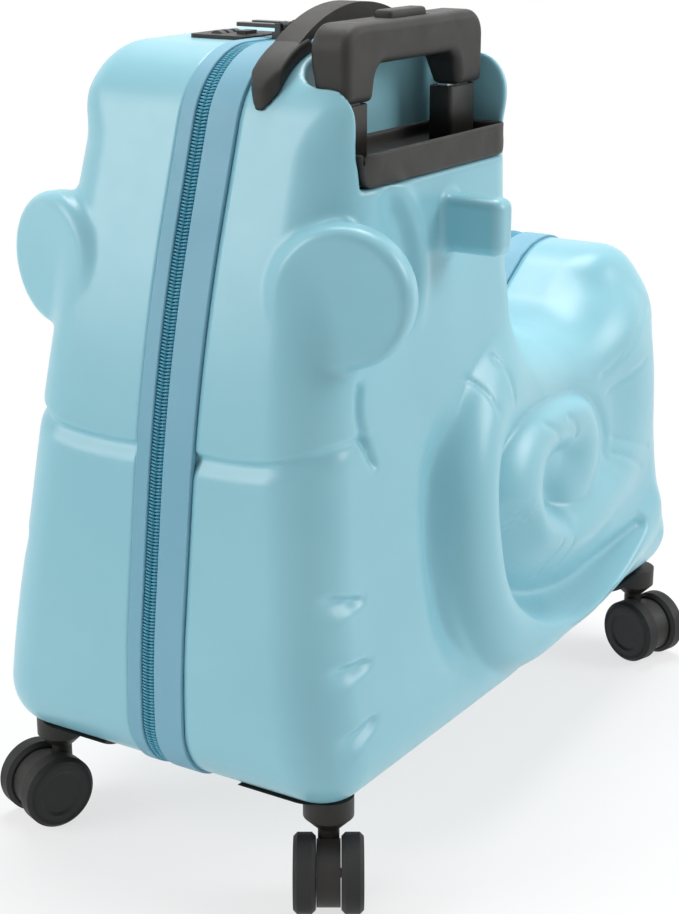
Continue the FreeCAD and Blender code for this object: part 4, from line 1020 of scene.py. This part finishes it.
# %% [markdown]
# ## Pieces that stay as they are
# The bands, tubes, strap, casters, zip sliders and lock already have their shapes in the frame. They only take
# finishes.

# %% Finishes on frame pieces
FINISHES = {
    band_blue: ["right_rim_band", "left_rim_band"],
    tube_aluminium: ["trolley_outer_tubes", "trolley_middle_tubes", "trolley_inner_tubes"],
    steel: ["trolley_push_rods"] + [n for n in nodes if n.endswith("_axle")],
    handle_rubber: ["carry_strap", "carry_grip_pad"],
    dark_metal: [n for n in nodes if n.startswith(("zip_slider", "zip_pull"))],
    dial_plastic: [n for n in nodes if n.startswith("lock_dial")],
    hub_black: [n for n in nodes if n.endswith("_hub")],
    tyre_grey: [n for n in nodes if n.endswith("_tyre")],
    black_plastic: ["trolley_foot", "lock_case", "lock_button"]
    + [n for n in nodes if n.endswith(("_mount", "_fork"))],
}
for finish, names in FINISHES.items():
    for name in names:
        nodes[name].data.materials.clear()
        nodes[name].data.materials.append(finish)
print("finished frame pieces:", sum(len(names) for names in FINISHES.values()))

# %% [markdown]
# ## Zip
# Each half of the zip is a woven tape that turns into the case along the rim, with a nylon coil on its edge. The zip
# runs round the outline from one end of the hinge to the other, so its run is the outline less the hinge's length.

# %% Run of the zip
HINGE_HALF, HINGE_BELOW = 203, 100
TAPE_SPACING, COIL_SPACING = 4.0, 2.0


def outline_points(spacing):
    out = []
    for i, (start, end, centre, radius, convex) in enumerate(ARCS):
        a0 = math.atan2(*(start - centre)[::-1])
        a1 = math.atan2(*(end - centre)[::-1])
        swing = (a1 - a0 + math.pi) % (2 * math.pi) - math.pi
        count = max(2, int(abs(swing) * radius / spacing))
        for t in np.linspace(0, 1, count + 1):
            a = a0 + swing * t
            n = np.array((math.cos(a), math.sin(a)))
            out.append((*(centre + radius * n), *(n if convex else -n)))
        along = ARCS[(i + 1) % len(ARCS)][0] - end
        count = int(np.linalg.norm(along) / spacing)
        n = np.array((-along[1], along[0])) / np.linalg.norm(along)
        for t in np.arange(1, count) / max(count, 1):
            out.append((*(end + along * t), *n))
    return np.array(out)


def zip_run(spacing):
    points = outline_points(spacing)
    on_hinge = (points[:, 1] < HINGE_BELOW) & (np.abs(points[:, 0]) < HINGE_HALF)
    first = int(np.flatnonzero(on_hinge & ~np.roll(on_hinge, -1))[0]) + 1
    points = np.roll(points, -first, axis=0)
    return points[~np.roll(on_hinge, -first)]


RUN = zip_run(TAPE_SPACING)

# %% Zip tapes
TAPE_PROFILE = [(0.5, -0.8), (2.4, -0.8), (4.0, -1.0), (4.5, -1.8), (4.6, -5.0), (4.6, -9.0)]
TAPE_WIDTH = sum(math.dist(a, b) for a, b in zip(TAPE_PROFILE, TAPE_PROFILE[1:]))
TAPE_THICKNESS = 0.5


def give_thickness(piece, thickness):
    wall = piece.modifiers.new("thickness", "SOLIDIFY")
    wall.thickness = thickness * MM
    wall.offset = 0


def strip_mesh(name, run, profile):
    verts = [(x * MM, (y + ny * d) * MM, (z + nz * d) * MM) for y, z, ny, nz in run for x, d in profile]
    count = len(profile)
    faces = [(r * count + c, r * count + c + 1, (r + 1) * count + c + 1, (r + 1) * count + c)
             for r in range(len(run) - 1) for c in range(count - 1)]
    mesh = bpy.data.meshes.new(name)
    mesh.from_pydata(verts, [], faces)
    mesh.update()
    mesh.shade_smooth()
    piece = put(name, mesh)
    give_thickness(piece, TAPE_THICKNESS)
    return piece


print("tape width", round(TAPE_WIDTH, 1), "mm")

# %% [markdown]
# The coil is the thing that repeats. Copying a loop by hand hundreds of times would be slow to change, and an
# array can't follow the run. So Geometry Nodes set one bent loop of nylon at every pitch along it, turned to its way.

# %% Coil tree
def coil_tree(name, loop, material):
    tree = bpy.data.node_groups.new(name, "GeometryNodeTree")
    tree.interface.new_socket("Geometry", in_out="INPUT", socket_type="NodeSocketGeometry")
    pitch = tree.interface.new_socket("Pitch", in_out="INPUT", socket_type="NodeSocketFloat")
    tree.interface.new_socket("Geometry", in_out="OUTPUT", socket_type="NodeSocketGeometry")
    source, sink = tree.nodes.new("NodeGroupInput"), tree.nodes.new("NodeGroupOutput")
    curve = tree.nodes.new("GeometryNodeMeshToCurve")
    spread = tree.nodes.new("GeometryNodeCurveToPoints")
    spread.mode = "LENGTH"
    tooth = tree.nodes.new("GeometryNodeObjectInfo")
    tooth.inputs["Object"].default_value = loop
    turned = tree.nodes.new("FunctionNodeAlignRotationToVector")
    turned.axis = "Y"
    turned.pivot_axis = "X"
    scatter = tree.nodes.new("GeometryNodeInstanceOnPoints")
    real = tree.nodes.new("GeometryNodeRealizeInstances")
    coat = tree.nodes.new("GeometryNodeSetMaterial")
    coat.inputs["Material"].default_value = material
    link = tree.links.new
    link(source.outputs["Geometry"], curve.inputs["Mesh"])
    link(curve.outputs["Curve"], spread.inputs["Curve"])
    link(source.outputs["Pitch"], spread.inputs["Length"])
    link(spread.outputs["Points"], scatter.inputs["Points"])
    link(spread.outputs["Tangent"], turned.inputs["Vector"])
    link(turned.outputs["Rotation"], scatter.inputs["Rotation"])
    link(tooth.outputs["Geometry"], scatter.inputs["Instance"])
    link(scatter.outputs["Instances"], real.inputs["Geometry"])
    link(real.outputs["Geometry"], coat.inputs["Geometry"])
    link(coat.outputs["Geometry"], sink.inputs["Geometry"])
    return tree, pitch.identifier


print("coil tree takes its pitch as an input")

# %% Loop of the coil
COIL_PATH = [(0.3, -0.5), (0.5, 0.35), (1.6, 0.75), (3.0, 0.75), (4.1, 0.45), (4.3, -0.4)]
WIRE_SIDES, WIRE_UP, WIRE_ALONG, COIL_SKEW = 6, 0.62, 0.72, 0.9


def wire_faces(rings):
    faces = []
    for i in range(rings - 1):
        for k in range(WIRE_SIDES):
            a, b = i * WIRE_SIDES + k, i * WIRE_SIDES + (k + 1) % WIRE_SIDES
            faces.append((a, b, b + WIRE_SIDES, a + WIRE_SIDES))
    faces.append(tuple(range(WIRE_SIDES))[::-1])
    faces.append(tuple(range((rings - 1) * WIRE_SIDES, rings * WIRE_SIDES)))
    return faces


def coil_loop(name, side):
    verts = []
    last = len(COIL_PATH) - 1
    for i, (x, up) in enumerate(COIL_PATH):
        a, b = COIL_PATH[max(i - 1, 0)], COIL_PATH[min(i + 1, last)]
        t = unit(np.array((b[0] - a[0], b[1] - a[1])))
        skew = COIL_SKEW * (i / last - 0.5)
        for k in range(WIRE_SIDES):
            turn = 2 * math.pi * k / WIRE_SIDES
            n = math.cos(turn) * WIRE_UP
            along = math.sin(turn) * WIRE_ALONG + skew
            verts.append((side * (x - t[1] * n) * MM, along * MM, (up + t[0] * n) * MM))
    mesh = bpy.data.meshes.new(name)
    mesh.from_pydata(verts, [], wire_faces(len(COIL_PATH)))
    bm = bmesh.new()
    bm.from_mesh(mesh)
    bmesh.ops.recalc_face_normals(bm, faces=bm.faces)
    bm.to_mesh(mesh)
    bm.free()
    mesh.shade_smooth()
    return put(name, mesh)


print("a loop has", len(wire_faces(len(COIL_PATH))), "faces")

# %% Zip halves
COIL_PITCH = 2.1


def nylon_coil(name, side):
    loop = coil_loop(name + "_loop", side)
    line = bpy.data.meshes.new(name + "_line")
    verts = [(0, y * MM, z * MM) for y, z, _, _ in zip_run(COIL_SPACING)]
    line.from_pydata(verts, [(i, i + 1) for i in range(len(verts) - 1)], [])
    guide = put(name + "_guide", line)
    tree, pitch = coil_tree(name + "_tree", loop, coil_nylon)
    run = guide.modifiers.new("coil", "NODES")
    run.node_group = tree
    run[pitch] = COIL_PITCH * MM
    done = bpy.data.meshes.new_from_object(guide.evaluated_get(bpy.context.evaluated_depsgraph_get()))
    guide.modifiers.remove(run)
    for spare in (guide, loop):
        bpy.data.objects.remove(spare)
    print(name, "faces", len(done.polygons))
    return put(name, done)


for side, half in ((1, "right"), (-1, "left")):
    profile = [(side * x, d) for x, d in TAPE_PROFILE]
    tape = strip_mesh(half + "_tape", RUN if side > 0 else RUN[::-1], profile)
    tape.data.materials.append(tape_cloth)
    coil = nylon_coil(half + "_coil", side)
    for part in (tape, coil):
        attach(part, half + "_case")
    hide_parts(half + "_zip_tape")

# %% [markdown]
# ## Hinge strip
# Under the case a woven strip joins the halves. It is a fine grid of quads with a shallow dip along the mouth.

# %% Hinge strip
STRIP_ACROSS, STRIP_ALONG, STRIP_THICKNESS = 24, 80, 0.9
FOLD_HALF, FOLD_DEPTH = 0.012, 0.0006


def hinge_strip():
    low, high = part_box("hinge_strip")
    verts, faces = [], []
    for j in range(STRIP_ALONG + 1):
        for i in range(STRIP_ACROSS + 1):
            x = low.x + (high.x - low.x) * i / STRIP_ACROSS
            y = low.y + (high.y - low.y) * j / STRIP_ALONG
            dip = FOLD_DEPTH * math.cos(math.pi * min(1, abs(x) / FOLD_HALF))
            verts.append((x, y, (low.z + high.z) / 2 - dip * 0.5))
    for j in range(STRIP_ALONG):
        for i in range(STRIP_ACROSS):
            a = j * (STRIP_ACROSS + 1) + i
            faces.append((a, a + 1, a + STRIP_ACROSS + 2, a + STRIP_ACROSS + 1))
    mesh = bpy.data.meshes.new("hinge_cloth_strip")
    mesh.from_pydata(verts, [], faces)
    mesh.materials.append(hinge_cloth)
    mesh.shade_smooth()
    strip = put("hinge_cloth_strip", mesh)
    give_thickness(strip, STRIP_THICKNESS)
    return strip, (high.x - low.x, high.y - low.y)


strip, strip_flat = hinge_strip()
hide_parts("hinge_strip")
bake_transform(strip)
print("hinge strip", [round(v, 3) for v in strip_flat])

# %% [markdown]
# ## Stage
# The object stands on a pale floor in a plain product studio. The background has to be white without more light on
# the object, so the rays that the camera sees, straight or in a reflection, are told apart by Light Path. For them
# the floor fades to white paper away from the object, and close to it enough paint is left to show the shadow.

# %% Floor
FLOOR_HALF = 6.0
FADE_NEAR, FADE_FAR, PAPER_NEAR, PAPER_FAR = 0.25, 0.95, 0.7, 1.0
WHITE = (1, 1, 1, 1)


def math_node(tree, operation, first, second):
    node = tree.nodes.new("ShaderNodeMath")
    node.operation = operation
    node.use_clamp = True
    tree.links.new(first, node.inputs[0])
    tree.links.new(second, node.inputs[1])
    return node.outputs["Value"]


def seen_rays(tree):
    rays = tree.nodes.new("ShaderNodeLightPath").outputs
    mirrored = math_node(tree, "ADD", rays["Is Glossy Ray"], rays["Is Transmission Ray"])
    return math_node(tree, "ADD", rays["Is Camera Ray"], mirrored)


def paper_share(tree, place):
    away = tree.nodes.new("ShaderNodeVectorMath")
    away.operation = "LENGTH"
    tree.links.new(place, away.inputs[0])
    fade = tree.nodes.new("ShaderNodeMapRange")
    fade.interpolation_type = "SMOOTHSTEP"
    for socket, value in zip(("From Min", "From Max", "To Min", "To Max"),
                             (FADE_NEAR, FADE_FAR, PAPER_NEAR, PAPER_FAR)):
        fade.inputs[socket].default_value = value
    tree.links.new(away.outputs["Value"], fade.inputs["Value"])
    return math_node(tree, "MULTIPLY", seen_rays(tree), fade.outputs["Result"])


def stage_floor():
    mesh = bpy.data.meshes.new("floor")
    corners = [(x * FLOOR_HALF, y * FLOOR_HALF, 0) for x, y in ((-1, -1), (1, -1), (1, 1), (-1, 1))]
    mesh.from_pydata(corners, [], [(0, 1, 2, 3)])
    material, tree, shader, place = new_finish("floor_paint")
    colour_drift(tree, shader, cloud(tree, place, 2.0), (0.86, 0.86, 0.86), (0.90, 0.90, 0.90))
    shader.inputs["Roughness"].default_value = 0.9
    paper = tree.nodes.new("ShaderNodeEmission")
    paper.inputs["Color"].default_value = WHITE
    paper.inputs["Strength"].default_value = 1.0
    mix = tree.nodes.new("ShaderNodeMixShader")
    tree.links.new(paper_share(tree, place), mix.inputs["Fac"])
    tree.links.new(shader.outputs["BSDF"], mix.inputs[1])
    tree.links.new(paper.outputs["Emission"], mix.inputs[2])
    tree.links.new(mix.outputs["Shader"], tree.nodes["Material Output"].inputs["Surface"])
    mesh.materials.append(material)
    put("floor", mesh)


stage_floor()
print("floor", 2 * FLOOR_HALF, "m square")

# %% [markdown]
# Three large soft lamps and a dim white world light the object at a plain level. Small lamps would be brighter on the
# gloss and would clip the pale blue to white. The world is at full white only for the rays that the
# camera sees.

# %% Lamps and world
LAMPS = [
    ("front_light", (-1.9, -2.3, 1.7), (0, 0, 0.25), (1.4, 1.8), 45),
    ("side_light", (2.6, 1.5, 1.9), (0, 0, 0.25), (1.4, 1.4), 46),
    ("top_light", (-0.3, 0.7, 2.6), (0, 0, 0.3), (1.7, 1.3), 54),
]
WORLD_LIGHT = 0.25


def soft_light(name, place, target, size, power):
    light = bpy.data.lights.new(name, "AREA")
    light.shape = "RECTANGLE"
    light.size, light.size_y = size
    light.energy = power
    lamp = put(name, light)
    lamp.location = place
    lamp.rotation_euler = (Vector(target) - Vector(place)).to_track_quat("-Z", "Y").to_euler()


for lamp_sizes in LAMPS:
    soft_light(*lamp_sizes)
world = bpy.data.worlds.new("studio")
world.use_nodes = True
sky = world.node_tree
around, paper = sky.nodes["Background"], sky.nodes.new("ShaderNodeBackground")
for background, strength in ((around, WORLD_LIGHT), (paper, 1.0)):
    background.inputs["Color"].default_value = WHITE
    background.inputs["Strength"].default_value = strength
pick = sky.nodes.new("ShaderNodeMixShader")
sky.links.new(seen_rays(sky), pick.inputs["Fac"])
sky.links.new(around.outputs["Background"], pick.inputs[1])
sky.links.new(paper.outputs["Background"], pick.inputs[2])
sky.links.new(pick.outputs["Shader"], sky.nodes["World Output"].inputs["Surface"])
bpy.context.scene.world = world
bpy.context.scene.view_settings.view_transform = "Standard"
print("lamps:", len(LAMPS))

# %% [markdown]
# The camera stands where the photograph was taken from: a little above the handle, off the front right corner. Its
# focal length in pixels was fitted to the photograph, and the picture's height turns it into millimetres.

# %% Camera
AZIMUTH, ELEVATION, DISTANCE = math.radians(32.4), math.radians(17.7), 1.343
LOOK_AT = Vector((-0.016, -0.023, 0.214))
SENSOR, FOCAL_PIXELS, PICTURE_HEIGHT = 36, 1868, 914
back = Vector((math.sin(AZIMUTH) * math.cos(ELEVATION), -math.cos(AZIMUTH) * math.cos(ELEVATION),
               math.sin(ELEVATION)))
lens = bpy.data.cameras.new("camera")
lens.lens = SENSOR * FOCAL_PIXELS / PICTURE_HEIGHT
camera = put("camera", lens)
camera.location = LOOK_AT + back * DISTANCE
camera.rotation_euler = back.to_track_quat("Z", "Y").to_euler()
bpy.context.scene.camera = camera
print("camera at", [round(v, 3) for v in camera.location])
